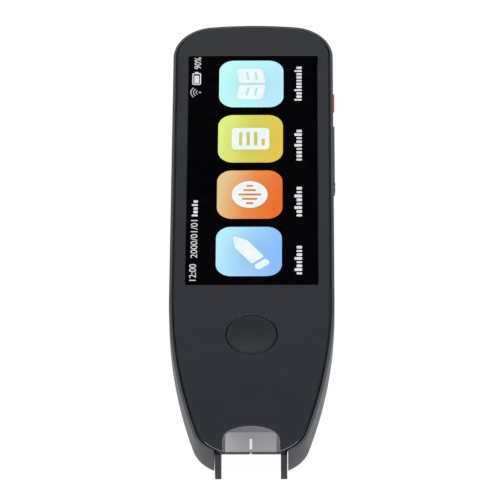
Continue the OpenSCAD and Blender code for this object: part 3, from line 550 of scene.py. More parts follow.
def halfPlan(inset, pull, startX):
    # right half of the outline drawn in by inset: from startX along the nose, whose points are
    # spread evenly, round the corner arc and the long side arc to the shoulder, all tangent
    taper, corner, sideX = hull["taper"], hull["noseCorner"], wallX - hull["taper"]
    cy = noseY + pull + corner
    cx = sideX + math.sqrt((taper - corner) ** 2 - (cy - taperY) ** 2)
    lean = slope(cx - sideX, cy - taperY)
    join = math.degrees(math.asin((hull["noseEnd"] - taperY) / (taper - inset)))
    front = noseY + pull + inset
    bow = chain(line(0, cx, front, front, 60), arc((cx, cy), corner - inset, -90, lean, 400),
                arc((sideX, taperY), taper - inset, lean, join, 400))
    past = int(np.argmax(bow[:, 0] >= startX))
    if past:
        a, b = bow[past - 1], bow[past]
        bow = np.concatenate([[a + (b - a) * (startX - a[0]) / (b[0] - a[0])], bow[past:]])
    run = np.concatenate([[0], np.cumsum(np.linalg.norm(np.diff(bow, axis=0), axis=1))])
    at = np.linspace(0, run[-1], 56)
    nose = np.stack([np.interp(at, run, bow[:, k]) for k in (0, 1)], -1)
    return chain(nose, arc((sideX, taperY), taper - inset, join, 0, 18), shoulder(
        wallX, taperY, topY, hull["topCorner"], hull["crown"], -inset, (26, 30, 22)))


def mirrored(*curves):
    # whole loop from the curves of a right half that starts and ends on the middle line
    half = np.concatenate(curves)
    flip = np.array([-1.0] + [1.0] * (half.shape[1] - 1))
    return np.concatenate([half, half[1:-1][::-1] * flip])


def roundIn(z, radius):
    # how far a rounded edge draws in at height z: radius less the circle's reach there
    return 0.0 if z >= radius else radius - math.sqrt(max(0.0, radius ** 2 - (radius - z) ** 2))


def tubRing(inset, z, notchGrow=0.0, notchZ=None):
    # one section of the tub: the notch from its middle to the nose, then the outer outline, whose
    # nose rakes back by the square of the height that is missing
    side, back, fillet = hull["notchWidth"] / 2 + notchGrow, notchY + notchGrow, hull["notchFillet"]
    rake = hull["noseRake"] * (1 - min(1.0, z / hull["noseRakeHeight"])) ** 2
    outer = halfPlan(inset, rake, side)
    notch = chain(line(0, side - fillet, back, back, 10),
                  arc((side - fillet, back - fillet), fillet, 90, 0, 6),
                  line(side, side, back - fillet, outer[0, 1], 14))
    return mirrored(raised(notch, z if notchZ is None else notchZ), raised(outer, z))


def tubRings():
    # outside from the back up, over the rim, down to the panel's seat, then the cavity down
    radius, rounding, soft = hull["backRound"], hull["rimRound"], 0.1
    levels = [z for z, down in quarter(radius, 19)] + [*hull["wallLevels"], seatZ]
    rings = [tubRing(roundIn(z, radius), z, roundIn(z, hull["notchRound"])) for z in levels]
    inner = hull["rim"] - hull["gapRelief"]
    rows = [(inward, rimZ - down) for inward, down in quarter(rounding, 4)]
    rows += [(rounding + 0.06, rimZ), (inner - soft, rimZ), (inner, rimZ - soft), (inner, seatZ)]
    rings += [tubRing(depth, z, notchZ=seatZ) for depth, z in rows]
    wall, floor = hull["wall"], hull["backWall"]
    levels = [floor + z for z, down in quarter(radius - wall, 9)]
    return rings + [tubRing(wall + roundIn(z - floor, radius - wall), z, hull["notchWall"])
                    for z in [seatZ, hull["noseRakeHeight"]] + levels[::-1]]


inside = {"keyZ": 7.0, "powerY": 49.0, "powerLength": 5.8, "rockerY": 28.6,
          "rockerLength": 23.7, "keyHeight": 2.4, "keyGap": 0.2, "keyProud": 0.35,
          "usbZ": 6.23, "usbWidth": 8.94, "usbHeight": 3.2, "usbDepth": 7.3, "usbMouth": 72.7,
          "microphoneX": 7.2, "microphoneZ": 5.83, "microphoneHole": 1.0,
          "speakerY": 54.2, "grilleLength": 12.0, "slotWidth": 1.0, "slotPitch": 1.8,
          "slotCount": 5, "opticZ": 4.525, "apertureWidth": 9.4, "apertureHeight": 4.4,
          "legOuter": 9.0, "legThickness": 1.6, "armGap": 0.2, "armZ": 7.4, "reach": 2.2}


def tubCutters():
    # bars that leave the key slots, the socket's and the sound openings, the arms' slots, the
    # optical aperture and the grille
    s, cuts = inside, []
    gap, reach, end = 2 * s["keyGap"], s["reach"], topY - 4.8
    for y, length in ((s["powerY"], s["powerLength"]), (s["rockerY"], s["rockerLength"])):
        cuts += alongX(stadium(length + gap, s["keyHeight"] + gap), wallX - hull["wall"] - 1,
                       wallX + 1, y, s["keyZ"])
    cuts += alongY(stadium(s["usbWidth"] + 0.2, s["usbHeight"] + 0.2, 24), end, topY + 1, 0,
                   s["usbZ"])
    for side in (-1, 1):
        cuts += alongY(stadium(s["microphoneHole"] + 1e-4, s["microphoneHole"]), end, topY + 1,
                       side * s["microphoneX"], s["microphoneZ"])
        edges = sorted(side * (s["legOuter"] + x)
                       for x in (s["armGap"], -s["legThickness"] - s["armGap"]))
        cuts += slab([roundRect(*edges, notchY - 1, notchY + reach, 0.05, 2)],
                     s["armZ"] - s["armGap"], faceZ)
    cuts += alongY(stadium(s["apertureWidth"], s["apertureHeight"], 24), notchY - 1,
                   notchY + reach, 0, s["opticZ"])
    for i in range(s["slotCount"]):
        y = s["speakerY"] + (i - (s["slotCount"] - 1) / 2) * s["slotPitch"]
        cuts += slab([stadium(s["grilleLength"], s["slotWidth"]) + np.array([0, y])], -1, reach)
    return cuts


tub = addMesh("tub", closed(tubRings()), "housingPlastic",
              replaces="rear_housing")
cutAway(tub, tubCutters())
print("tub", len(tub.data.polygons), "faces")

panel = {"bevel": 0.35, "screenWidth": 34.0, "screenLength": 80.0, "screenTop": 61.65,
         "screenCorner": 0.6, "keyY": -34.9, "keyDiameter": 12.7, "keyGap": 0.22,
         "windowWidth": 14.4, "windowLength": 8.24, "windowCorner": 4.0, "windowCrown": 11.0,
         "bayShare": 0.12, "bulge": 0.3, "bulgeX": 11.5, "lipZ": 11.5, "pocket": 1.1,
         "soft": 0.05, "keyRound": 0.1, "screenRound": 0.08}
screenLow = panel["screenTop"] - panel["screenLength"]


def windowCurve(grow, front, stretch=0.0):
    # half of the window's plan, which may be stretched away from the nose
    p = panel
    return shoulder(p["windowWidth"] / 2, front, panelY + p["windowLength"] + stretch,
                    p["windowCorner"], p["windowCrown"], grow, (8, 20, 16))


def panelLoop(depth, stretch=0.0):
    # panel's outline drawn in by depth; at the nose it runs in round the window, and each corner
    # beside the window stands a little forward, by the square of its nearness to the window
    side = panel["windowWidth"] / 2
    outer = halfPlan(panelInset + depth, 0.0, side + depth * panel["bayShare"])
    near = np.clip((panel["bulgeX"] - outer[:, 0]) / (panel["bulgeX"] - side), 0, 1)
    outer[:, 1] -= panel["bulge"] * near ** 2 * (outer[:, 1] < 0)
    bay = windowCurve(depth * panel["bayShare"], outer[0, 1], stretch)
    return mirrored(bay[::-1][:-1], outer)


def keyHole(depth):
    # round hole, clockwise as holes run
    radius = panel["keyDiameter"] / 2 + panel["keyGap"] + depth
    return arc((0, panel["keyY"]), radius, 360, 0, 145)[:-1]


def screenHole(depth):
    # the display's opening: a rounded rectangle grown by depth, clockwise
    side = panel["screenWidth"] / 2 + depth
    return roundRect(-side, side, screenLow - depth, panel["screenTop"] + depth,
                     panel["screenCorner"] + depth)[::-1]


def frontPanel():
    # the outer edge has a flat polished bevel, the openings a fine round one; behind the window
    # a pocket runs under a thin lip; each row is a depth, a height and the pocket's length
    p = panel
    bevel, soft, nearly = p["bevel"], p["soft"], 0.3 * p["soft"]
    chamfer = [(0.0, panelZ, p["pocket"]), (0.0, p["lipZ"], p["pocket"]), (0.0, p["lipZ"]),
               (0.0, faceZ - bevel - soft), (nearly, faceZ - bevel + nearly),
               (bevel - nearly, faceZ - nearly), (bevel + soft, faceZ), (bevel + 0.3, faceZ)]
    return closed(carry(panelLoop, chamfer),
                  *(carry(hole, roundProfile(panelZ, faceZ, 0.0, p[k], 6))
                    for hole, k in ((keyHole, "keyRound"), (screenHole, "screenRound"))))


addMesh("panel", frontPanel(), "panelPlastic", sharp=40,
        replaces="front_panel")
print("front panel made")

frontKey = {"radius": 6.35, "flange": 7.6, "flangeZ": 10.1, "flangeThickness": 0.5,
            "stem": 1.6, "stemZ": 9.08, "dish": 70.0, "dishRim": 0.5, "edge": 0.2,
            "notch": 0.28, "notchWidth": 0.5, "notchLow": -0.8, "notchHigh": 0.5}


def frontKeyParts():
    # stem, flange and a cap with a rounded edge whose top is a shallow dish
    k = frontKey
    rim, edge = k["radius"] - k["dishRim"], k["edge"]
    flangeTop = k["flangeZ"] + k["flangeThickness"]
    half = math.degrees(math.asin(rim / k["dish"]))
    dishZ = faceZ + k["dish"] * math.cos(math.radians(half))
    section = [(k["stem"], k["stemZ"]), (k["stem"], k["flangeZ"]), (k["flange"], k["flangeZ"]),
               (k["flange"], flangeTop), (k["radius"], flangeTop),
               *arc((k["radius"] - edge, faceZ - edge), edge, 0, 90, 6),
               (rim + 0.2, faceZ), (rim + 0.05, faceZ - 0.001),
               *arc((0, dishZ), k["dish"], -90 + half, -90, 14)[:-1]]
    return moved(closed(revolve(section)), (0, panel["keyY"], 0))


def keyNotches():
    # the two small notches in the key's rim, at three and nine o'clock
    k, cuts = frontKey, []
    for side in (-1, 1):
        cuts += softBox(sorted((side * (k["radius"] - k["notch"]), side * (k["radius"] + 0.2))),
                        about(panel["keyY"], k["notchWidth"] / 2),
                        (faceZ + k["notchLow"], faceZ + k["notchHigh"]), 0.08)
    return cuts


cutAway(addMesh("front_key_cap", frontKeyParts(), "keyPlastic", "front_key",
                replaces="front_button"), keyNotches())
print("front key made")

sideKeys = {"flangeX": 18.5, "flange": 0.6, "flangeLength": 1.4, "flangeHeight": 1.0,
            "stub": 0.4, "stubRadius": 0.9, "edge": 0.3, "boardX": 17.72, "tipRadius": 0.3,
            "tipHalf": 1.2, "pipLength": 0.6, "pipHalf": 0.6, "pipIn": 0.3, "pipOut": 0.12,
            "pipBack": 1.6, "pipStep": 1.8, "stubReach": 9.0}
keyZ, keyOutX = inside["keyZ"], wallX + inside["keyProud"]


def sideKey(y, length, stubs):
    # crowned bar with round ends, its flange behind the wall and the stubs behind that
    k, height = sideKeys, inside["keyHeight"]
    back, stub = k["flangeX"], 2 * k["stubRadius"]
    parts = alongX(stadium(length, height), back, keyOutX, y, keyZ, 0.0, k["edge"])
    parts += alongX(stadium(length + k["flangeLength"], height + k["flangeHeight"]), back,
                    back + k["flange"], y, keyZ, 0.05, 0.1)
    for stubY in stubs:
        parts += alongX(stadium(stub + 1e-4, stub), back - k["stub"], back + 0.1, stubY, keyZ,
                        0.1, 0.0)
    return parts


def rockerParts():
    # long key with two stubs, the rib that it tips on, and two pips to feel
    k, y, length = sideKeys, inside["rockerY"], inside["rockerLength"]
    parts = sideKey(y, length, (y - k["stubReach"], y + k["stubReach"]))
    parts += softBox((k["boardX"] + 0.04, k["flangeX"] + 0.1), about(y, k["tipRadius"]),
                     about(keyZ, k["tipHalf"]))
    for i in range(2):
        parts += softBox((keyOutX - k["pipIn"], keyOutX + k["pipOut"]),
                         about(y - (length / 2 - k["pipBack"]) + i * k["pipStep"],
                               k["pipLength"] / 2), about(keyZ, k["pipHalf"]), 0.1)
    return parts


addMesh("power_key_cap", sideKey(inside["powerY"], inside["powerLength"], (inside["powerY"],)),
        "redPlastic", "power_key", replaces="power_button")
addMesh("volume_key_cap", rockerParts(), "sideKeyPlastic", "volume_key",
        replaces="volume_rocker")
print("side keys made")

trigger = {"legTop": 10.4, "legBack": -56.8, "noseHeight": 5.6, "rake": 0.3, "foot": 0.5,
           "toe": 3.5, "heel": 2.6, "edge": 0.22, "barY": -54.22, "barLength": 1.6,
           "barZ": 8.85, "armLap": 0.6, "round": 0.15, "rounds": (0.3, 3.0, 0.4, 2.0, 0.6, 0.4)}


def triggerParts():
    # two legs with rounded feet, an arm behind each, and the bar that joins the arms
    t, outer, thick = trigger, inside["legOuter"], inside["legThickness"]
    top, back, foot, far = t["legTop"], t["legBack"], t["foot"], t["barY"] + t["barLength"]
    front = tipY + t["rake"]
    side = filletLoop([(tipY, top), (tipY, top - t["noseHeight"]), (front, foot),
                       (front + t["toe"], foot), (back, t["heel"]), (back, top)], t["rounds"], 8)
    parts = []
    for x in (outer - thick, -outer):
        parts += alongX(side, x, x + thick, foot=t["edge"], top=t["edge"])
        parts += softBox((x, x + thick), (back - t["armLap"], far), (inside["armZ"], top),
                         t["round"])
    return parts + softBox((-outer, outer), (t["barY"], far), (t["barZ"], top), t["round"])


addMesh("nib_legs", triggerParts(), "triggerPlastic", "trigger",
        replaces="nib_trigger")
print("nib trigger made")

giving = {"springX": 8.2, "springZ": 8.9, "springLow": -52.557, "springHigh": -47.603,
          "coilRadius": 1.025, "wireRadius": 0.175, "turns": 6, "stopY": -47.54,
          "springKeep": 0.8, "keyY": -35.05, "boardZ": 8.69, "padTop": 10.06, "padOuter": 7.5,
          "padInner": 6.0, "padKeep": 0.75, "domeRadius": 2.5, "domeHeight": 0.35,
          "domeKeep": 0.08, "sideX": 17.76, "sideRadius": 1.4, "sideHeight": 0.3,
          "powerKeep": 0.1, "rockerKeep": 0.5, "sheet": 0.08}


def coil(x):
    # round wire wound on a helix: the wire's circle stands across the helix's own direction
    g, sides = giving, 12
    turn = np.linspace(0, 2 * math.pi * g["turns"], 24 * g["turns"] + 1)
    along = np.linspace(g["springLow"] + g["wireRadius"], g["springHigh"] - g["wireRadius"],
                        len(turn))
    out = np.column_stack([np.cos(turn), 0 * turn, np.sin(turn)])
    middle = g["coilRadius"] * out + (x, 0, g["springZ"])
    middle[:, 1] = along
    ahead = np.gradient(middle, axis=0)
    ahead /= np.linalg.norm(ahead, axis=1)[:, None]
    around = np.linspace(0, 2 * math.pi, sides, endpoint=False)[None, :, None]
    rings = middle[:, None] + g["wireRadius"] * (
        np.cos(around) * out[:, None] + np.sin(around) * np.cross(ahead, out)[:, None])
    return [skin(rings), (rings[0], [list(range(sides))[::-1]]),
            (rings[-1], [list(range(sides))])]


def snapDome(radius, height):
    # pressed sheet turned round its axis: an arc from rim to crown, and the same a sheet lower
    sheet, bows = giving["sheet"], []
    for r, h in ((radius - 2 * sheet, height - sheet), (radius, height)):
        ball = (r * r + h * h) / (2 * h)
        bows.append(arc((0, h - ball), ball, math.degrees(math.acos(r / ball)), 89.5, 10))
    return closed(revolve(np.concatenate([bows[0][::-1], bows[1]]), 48))


def givingParts():
    # what each key and the trigger press on, each as its own piece in place of its node; each row
    # also gives a joint, an axis, a level and the share of the height that is kept
    g, reach = giving, sideKeys["stubReach"]
    pad = slab([arc((0, g["keyY"]), radius, start, 360 - start, 97)[:-1]
                for radius, start in ((g["padOuter"], 0), (g["padInner"], 360))],
               g["boardZ"], g["padTop"], 0.1, 0.1)
    dome = moved(snapDome(g["domeRadius"], g["domeHeight"]), (0, g["keyY"], g["boardZ"]))
    power, low, high = (
        turned(snapDome(g["sideRadius"], g["sideHeight"]), (2, 0, 1), (g["sideX"], y, keyZ))
        for y in (inside["powerY"], inside["rockerY"] - reach, inside["rockerY"] + reach))
    rows = (("trigger_coils", coil(g["springX"]) + coil(-g["springX"]), "springSteel",
             "trigger_springs", "nib_trigger_slide", 1, g["stopY"], g["springKeep"]),
            ("key_pad_ring", pad, "siliconeRubber", "button_pad", "front_key_press", 2,
             g["boardZ"], g["padKeep"]),
            ("key_snap_dome", dome, "springSteel", "button_dome", "front_key_press", 2,
             g["boardZ"], g["domeKeep"]),
            ("power_snap_dome", power, "springSteel", "power_dome", "power_key_press", 0,
             g["sideX"], g["powerKeep"]),
            ("volume_snap_domes", low + high, "springSteel", "volume_domes",
             "volume_rocker_tilt", 0, g["sideX"], g["rockerKeep"]))
    for name, parts, finishing, node, joint, k, level, keep in rows:
        piece = addMesh(name, parts, finishing, replaces=node)
        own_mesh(piece)


givingParts()
print("springs, pad and domes made")

window = {"top": 11.96, "shelfZ": 11.8, "plugX": 6.3, "plugLength": 6.41, "plugCut": 0.65,
          "plugCorner": 0.3, "plugFront": 0.03, "joint": 0.02, "edge": 0.05,
          "postLength": 3.4, "nickWidth": 0.35, "nickDepth": 0.3, "markWidth": 0.66,
          "markLow": -72.2, "markHigh": -68.85, "markTop": 11.985, "markDepth": 0.04}
plugFront = panelY + window["plugFront"]
smoke = {"colour": (108, 107, 113), "clear": 0.372, "bow": 0.0023, "bowX": 1.5, "slope": 0.019,
         "middleY": -69.6, "edgeShadeY": panelY + 0.1, "edgeShadeZ": faceZ - 0.32, "frontShadeY": panelY + 0.95,
         "frontShadeDim": 0.11, "edgeShadeColour": (0.02, 0.02, 0.022), "edgeShadeAlpha": 0.97}


def smokedShadedPlastic(name):
    # tinted clear moulding: light passes by clear at each face, a little more towards both sides
    # and towards the nose; less passes close to its front, and the front edge is coloured near
    # black and made almost opaque, both painted shade
    s, (wire, spot) = smoke, newMaterial(name)
    across, along, up = (axis(spot, k) for k in range(3))
    fine = noise(wire, spot, 0.5)
    off = across - s["bowX"]
    # painted shade: the window's front edge is coloured near black and made almost opaque
    edge = (along < s["edgeShadeY"]) * (up < s["edgeShadeZ"])
    # painted shade: less light passes close to the front
    near = wire.maths("MAXIMUM", s["frontShadeY"] - along, 0.0)
    clear = (off * off * s["bow"] + (s["middleY"] - along) * s["slope"] + s["clear"]
             - near * s["frontShadeDim"])
    alpha = (1 - clear) * (0.98 + 0.04 * fine) * (1 - edge) + s["edgeShadeAlpha"] * edge
    tint = blend(edge, (*fromScreen(*s["colour"]), 1), (*s["edgeShadeColour"], 1))
    finish(wire, {"Base Color": tint, "Roughness": 0.12 + 0.05 * fine, "Alpha": alpha,
                  "Specular IOR Level": 0.3})


def withNick(half, front):
    # closes a right half of the window's plan, with a small nick in the middle of its front
    return mirrored([(0.0, front + window["nickDepth"]), (window["nickWidth"], front)], half)


def windowLoop(depth):
    # whole plan of the window, drawn in by the joint and the depth
    front = panelY + depth
    return withNick(windowCurve(-window["joint"] - depth, front), front)


def halfPlug(grow):
    # right half of the plug's plan: straight flank, cut corner, straight back
    w, count = window, 6
    side, back = w["plugX"] + grow, panelY + w["plugLength"] + grow
    loop = filletLoop([(0.0, plugFront), (side, plugFront), (side, back - w["plugCut"]),
                       (side - w["plugCut"], back), (0.0, back)],
                      (0.0, 0.0, w["plugCorner"], w["plugCorner"], 0.0), count)
    return np.concatenate([loop[count:count + 1], loop[2 * count:4 * count + 1]])


def sightWindow():
    # a plate with the window's plan over a narrower plug, as one closed skin
    w = window
    rings = carry(windowLoop, roundProfile(w["shelfZ"], w["top"], 0.0, w["edge"]))
    low, high = (raised(withNick(halfPlug(0.0), plugFront), z) for z in (panelZ, w["shelfZ"]))
    return [lid([low], False), skin([low, high]), lid([rings[0], high[::-1]], False),
            skin(rings), lid([rings[-1]], True)]


def windowLedge():
    # dark frame under the plate, between the window's plan and the plug, on two posts
    w, joint, flip = window, window["joint"], np.array([-1.0, 1.0])
    rim, inner = windowCurve(-joint, plugFront), halfPlug(joint)
    loop = np.concatenate([rim, rim[:-1][::-1] * flip, inner * flip, inner[:-1][::-1]])
    parts = slab([loop], panel["lipZ"] + joint, w["shelfZ"] - joint)
    near, far = w["plugX"] + joint, panel["windowWidth"] / 2 - joint
    for ends in ((near, far), (-far, -near)):
        parts += softBox(ends, (plugFront, plugFront + w["postLength"]),
                         (panelZ, panel["lipZ"] + 2 * joint), 0.05, 2)
    return parts


def guideMark():
    # thin strip with round corners, on the middle line
    w = window
    return slab([roundRect(*about(0, w["markWidth"] / 2), w["markLow"], w["markHigh"], 0.12)],
                w["markTop"] - w["markDepth"], w["markTop"])


smokedShadedPlastic("smokedShadedWindow")
addMesh("scan_window", sightWindow(), "smokedShadedWindow", replaces="sight_window")
addMesh("window_ledge", windowLedge(), "panelPlastic")
addMesh("guide_mark", guideMark(), "markPaint")
print("sight window made")

socket = {"sheet": 0.3, "lip": 0.1, "floor": 0.9, "tongueX": 3.35, "tongueZ": 0.35,
          "tongueRound": 0.15, "tongueBack": 0.3, "tongueFront": 0.9, "tongueEdge": 0.12,
          "pitch": 0.5, "contacts": 12, "contactX": 0.12, "contactZ": 0.03,
          "contactY": (68.0, 71.5)}


def chargingSocket():
    # folded steel shell with a lip and a floor at its back, the tongue, and its contacts
    s, mouth, z = socket, inside["usbMouth"], inside["usbZ"]
    outer = stadium(inside["usbWidth"], inside["usbHeight"], 28)
    sheet, lip, deep = s["sheet"], s["lip"], mouth - inside["usbDepth"]
    rows = [(0.0, deep), (0.0, mouth - lip), (lip, mouth), (sheet - lip, mouth),
            (sheet, mouth - lip), (sheet, deep + s["floor"])]
    case = turned(closed(carry(outer, rows)), (0, 2, 1), (0, 0, z))
    plan = roundRect(*about(0, s["tongueX"]), *about(0, s["tongueZ"]), s["tongueRound"])
    tongue = alongY(plan, deep + s["tongueBack"], mouth - s["tongueFront"], 0, z, s["tongueEdge"])
    contacts = []
    for x in (np.arange(s["contacts"]) - (s["contacts"] - 1) / 2) * s["pitch"]:
        for side in (s["tongueZ"], -s["tongueZ"]):
            contacts += softBox(about(x, s["contactX"]), s["contactY"],
                                about(z + side, s["contactZ"]), 0.02, 2)
    addMesh("socket_shell", case, "sheetSteel", replaces="usb_socket")
    addMesh("socket_tongue", tongue, "blackPlastic")
    addMesh("socket_contacts", contacts, "goldPlate")


chargingSocket()
print("charging socket made")

glass = {"z": 10.41, "top": 11.95, "fit": 0.1, "edge": 0.15, "corner": 0.5, "foot": 0.05,
         "tileX": -0.62, "lean": 0.0065, "leanFrom": 22.0, "tileWidth": 16.85,
         "tileHeight": 16.7, "tileCorner": 3.9, "tileTop": 11.96, "glyphTop": 11.975,
         "depth": 0.03, "statusX": -14.75, "labelX": 11.95}
tiles = {  # middle along the display, then its colours from left to right
    "book": (51.5, (194, 250, 250), (186, 246, 251), (182, 236, 253)),
    "page": (32.0, (224, 240, 128), (217, 211, 92), (228, 198, 70)),
    "voice": (12.5, (232, 198, 146), (237, 140, 68), (237, 108, 38)),
    "pencil": (-7.0, (184, 238, 255), (162, 211, 253), (138, 190, 254))}


def screenGlass(depth):
    # rounded rectangle that fits into the display's opening with a little play
    g = glass
    side, inset = panel["screenWidth"] / 2 - g["fit"] - depth, g["fit"] + depth
    return roundRect(-side, side, screenLow + inset, panel["screenTop"] - inset, g["corner"])


def tileMiddle(centreY):
    # the column of tiles leans a little against the display's sides
    return glass["tileX"] + glass["lean"] * (centreY - glass["leanFrom"])


def litTile(name, centreY, left, middle, right):
    # lit picture tile: colours run across it and turn a little along it, and a dim halo, whose
    # depth falls with the square of the distance, lies round the middle
    halo, haloReach, tilt = 0.16, 30.0, -0.22
    wire, spot = newMaterial(name)
    x, y = axis(spot, 0), axis(spot, 1)
    middleX, width = tileMiddle(centreY), glass["tileWidth"]
    across = (x - (middleX - width / 2)) / width + (y - centreY) * (tilt / glass["tileHeight"])
    far = ((x - middleX) * (x - middleX) + (y - centreY) * (y - centreY)) * (-1 / haloReach)
    colours = ramp(across, (0.05, fromScreen(*left)), (0.5, fromScreen(*middle)),
                   (0.95, fromScreen(*right)))
    lit(wire, wire.make("VectorMath", {
        0: colours, "Scale": 1 - halo * wire.maths("EXPONENT", far)}, operation="SCALE"))


def picture(loops, top=glass["glyphTop"]):
    # thin plate of the first loop, with the others as its holes
    return slab(loops, top - glass["depth"], top)


def glyph(loops, centreY, turn=0.0, size=1.0):
    # shapes drawn reading along +Y with their tops towards -X; turn tilts them in degrees
    a, middle = math.radians(90 + turn), np.array([tileMiddle(centreY), centreY])
    spin = np.array([[math.cos(a), math.sin(a)], [-math.sin(a), math.cos(a)]])
    return picture([size * loop @ spin + middle for loop in loops])


def bookGlyph(centreY):
    # two open pages beside a spine, each a leaning sheet with ruled gaps
    parts = []
    for side in (1, -1):
        page = np.array([(0.35, -3.4), (4.9, -2.6), (4.9, 3.6), (0.35, 2.8)]) * (side, 1)
        loops = [filletLoop(page[::side], (0.4, 0.9, 0.9, 0.4))]
        for z in (-1.6, 0.4):
            rule = np.array([(1.3, z), (3.9, z + 0.45), (3.9, z + 1.0), (1.3, z + 0.55)])
            loops.append(filletLoop((rule * (side, 1))[::-side], (0.2,) * 4, 4))
        parts += glyph(loops, centreY, size=1.1)
    return parts


def pageGlyph(centreY):
    # sheet with ruled lines
    sheet = [roundRect(-3.1, 3.1, -4.0, 4.0, 0.8)]
    sheet += [roundRect(-2.0, high, *about(z, 0.35), 0.3)[::-1]
              for high, z in ((2.0, 2.1), (2.0, 0.5), (2.0, -1.1), (0.0, -2.7))]
    return glyph(sheet, centreY, size=1.22)


def voiceGlyph(centreY):
    # disc with five sound bars
    disc = [arc((0, 0), 4.6, 0, 360, 65)[:-1]]
    disc += [roundRect(*about(x, 0.36), *about(0, tall), 0.35)[::-1]
             for x, tall in ((-3.0, 1.0), (-1.5, 2.0), (0.0, 3.0), (1.5, 1.7), (3.0, 0.9))]
    return glyph(disc, centreY)


def pencilGlyph(centreY):
    # tilted pencil: a blunt end, a gap, the barrel and its point
    end = roundRect(-5.2, -3.6, -1.6, 1.6, 0.6)
    barrel = filletLoop([(-3.0, -1.6), (2.6, -1.6), (5.4, 0.0), (2.6, 1.6), (-3.0, 1.6)],
                        (0.3, 0.5, 0.4, 0.5, 0.3))
    return glyph([end], centreY, 38, 1.25) + glyph([barrel], centreY, 38, 1.25)


def makeTiles():
    # four lit tiles with round corners, and the picture that stands on each
    glyphs = {"book": bookGlyph, "page": pageGlyph, "voice": voiceGlyph, "pencil": pencilGlyph}
    for name, (centreY, *colours) in tiles.items():
        plan = roundRect(*about(tileMiddle(centreY), glass["tileWidth"] / 2),
                         *about(centreY, glass["tileHeight"] / 2), glass["tileCorner"], 14)
        litTile(name + "Tile", centreY, *colours)
        addMesh("tile_" + name, picture([plan], glass["tileTop"]), name + "Tile")
        addMesh("glyph_" + name, glyphs[name](centreY), "glyphLight")


def captionBars():
    # plain rows of short rounded blocks, t for a taller one, where words would stand: one below
    # each tile and one in the status line; foot, height, ends and pattern
    label, status, parts = (glass["labelX"] + 0.85, 1.95), (glass["statusX"] + 0.75, 1.55), []
    for (foot, height), y0, y1, pattern in (
            (label, 45.2, 57.8, "tsstsssssts"), (label, 24.0, 35.3, "sssstssts"),
            (label, 4.6, 15.3, "sstsstss"), (label, -15.1, -5.0, "stsstsss"),
            (status, 4.7, 10.7, "tssts")):
        pitch = (y1 - y0) / len(pattern)
        for i, letter in enumerate(pattern):
            ends = about(y0 + (i + 0.5) * pitch, pitch * (0.72 if i % 3 else 0.52) / 2)
            tall = height * (1.0 if letter == "t" else 0.72)
            parts += picture([roundRect(foot - tall, foot, *ends, 0.2, 4)])
    return parts


def digits(text, y0, y1, x, height):
    # plain numerals from the stock font, laid to read along +Y between y0 and y1
    curve = bpy.data.curves.new("numerals", "FONT")
    curve.body, curve.size, curve.extrude = text, 1.0, 0.02
    letters = put("numerals", curve)
    mesh = settledMesh(letters)
    bpy.data.objects.remove(letters)
    spots = np.empty(len(mesh.vertices) * 3)
    mesh.vertices.foreach_get("co", spots)
    spots = spots.reshape(-1, 3)
    u, v, w = ((spots - spots.min(0)) / (spots.max(0) - spots.min(0))).T
    points = np.column_stack([x + height / 2 - v * height, y0 + u * (y1 - y0),
                              glass["glyphTop"] + glass["depth"] * (w - 1)])
    return [(points, [list(p.vertices) for p in mesh.polygons])]


def statusMarks():
    # battery outline with its level, and a fan of three arcs over a dot
    x, y = glass["statusX"] - 0.05, 53.3
    outline, hollow, level, nub = (
        roundRect(*about(x, half), y + low, y + high, radius) for half, low, high, radius in (
            (1.15, -2.1, 2.1, 0.5), (0.85, -1.8, 1.8, 0.3), (0.62, -1.55, 1.2, 0.15),
            (0.45, 2.15, 2.5, 0.12)))
    fan, dot = [], (x + 0.9, 48.5)
    for radius in (0.95, 1.65, 2.35):
        fan += picture([np.concatenate([arc(dot, radius + 0.16, 135, 225, 14),
                                        arc(dot, radius - 0.16, 225, 135, 14)])])
    return (picture([outline, hollow[::-1]]) + picture([level]) + picture([nub]),
            fan + picture([arc(dot, 0.32, 0, 360, 17)[:-1]]))


def displayPicture():
    # the rows of blocks, the three numerals and the two marks
    x, (battery, waves) = glass["statusX"], statusMarks()
    for name, parts, finishing in (
            ("caption_bars", captionBars(), "markLight"),
            ("clock_digits", digits("12:00", -16.9, -11.3, x - 0.35, 1.75), "markLight"),
            ("date_digits", digits("2000/01/01", -9.2, 3.7, x - 0.1, 1.7), "markLight"),
            ("charge_digits", digits("90%", 56.9, 61.1, x + 0.2, 1.7), "markLight"),
            ("battery_mark", battery, "markLight"), ("wave_mark", waves, "dimLight")):
        addMesh(name, parts, finishing)


addMesh("cover_glass", slab([screenGlass], glass["z"], glass["top"], glass["foot"],
                            glass["edge"]), "blackGlass",
        replaces="screen_glass")
makeTiles()
displayPicture()
print("display picture made")

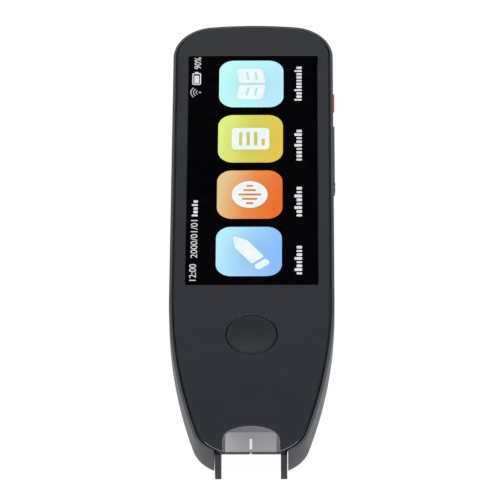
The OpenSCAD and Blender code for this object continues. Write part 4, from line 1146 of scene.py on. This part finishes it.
studio = {"floorZ": -0.00025, "floorSize": 12.0, "floorShade": 0.8, "floorGlow": 0.93,
          "glow": 1.04, "world": 0.62}
lamps = {  # spot and aim in metres, direction of the first side, sides in metres, watts
    "overhead": ((0.05, -0.3, 1.35), (0, 0, 0), (1, 0, 0), (0.8, 0.8), 8.0),
    "rearFill": ((0, 1.15, 0.8), (0, 0, 0), (1, 0, 0), (0.9, 0.5), 1.6),
    "leftStrip": ((-0.93, -0.64, 0.74), (0, -0.0673, 0.012), (0.655, -0.71, 0.258), (1.1, 0.2),
                  7.4),
    "rightStrip": ((0.93, -0.64, 0.74), (0, -0.0673, 0.012), (-0.655, -0.71, 0.258), (1.1, 0.2),
                   7.4)}


def raySeen(wire, outputs):
    # one for the rays of the light path's given outputs, zero for the rest
    seen = 0.0
    for k in outputs:
        seen = wire.maths("MAXIMUM", wire.make("LightPath", out=k), seen)
    return seen


def studioFloor():
    # pale paper that is seen brighter than it lights, with the object's shadow left on it
    wire, spot = newMaterial("floorPaper", (0.04,) * 3)
    shade, size = studio["floorShade"], studio["floorSize"]
    tone = ramp(noise(wire, spot, 4.0, 3.0), (0.0, (shade * 0.99,) * 3), (1.0, (shade,) * 3))
    paper = wire.make("BsdfDiffuse", {"Color": tone})
    glow = wire.make("Emission", {"Color": (1, 1, 1, 1), "Strength": studio["glow"]})
    share = raySeen(wire, (0, 3, 6)) * studio["floorGlow"]
    finish(wire, {0: share, 1: paper, 2: glow}, "MixShader")
    mesh = bpy.data.meshes.new("floor")
    corners = ((-size, -size), (size, -size), (size, size), (-size, size))
    mesh.from_pydata([(x, y, studio["floorZ"]) for x, y in corners], [], [(0, 1, 2, 3)])
    mesh.materials.append(finishes["floorPaper"])
    put("floor", mesh)


def studioLight():
    # white surroundings, dimmer as a light than as they are seen, and the soft boxes
    world = bpy.data.worlds.new("studio")
    wire = emptyTree(world)
    soft, clear = (wire.make("Background", {"Color": (1, 1, 1, 1), "Strength": strength})
                   for strength in (studio["world"], 1.0))
    mixed = wire.make("MixShader", {0: raySeen(wire, (0, 6)), 1: soft, 2: clear})
    wire.make("OutputWorld", {"Surface": mixed})
    bpy.context.scene.world = world
    for name, (spot, aim, along, size, power) in lamps.items():
        lamp = bpy.data.lights.new(name, "AREA")
        lamp.shape, lamp.energy = "RECTANGLE", power
        lamp.size, lamp.size_y = size
        back = (Vector(spot) - Vector(aim)).normalized()
        side = (Vector(along) - back * back.dot(Vector(along))).normalized()
        put(name, lamp, (side, back.cross(side), back), Vector(spot))


studioFloor()
studioLight()
bpy.context.scene.view_settings.view_transform = "Standard"
print("stage ready")
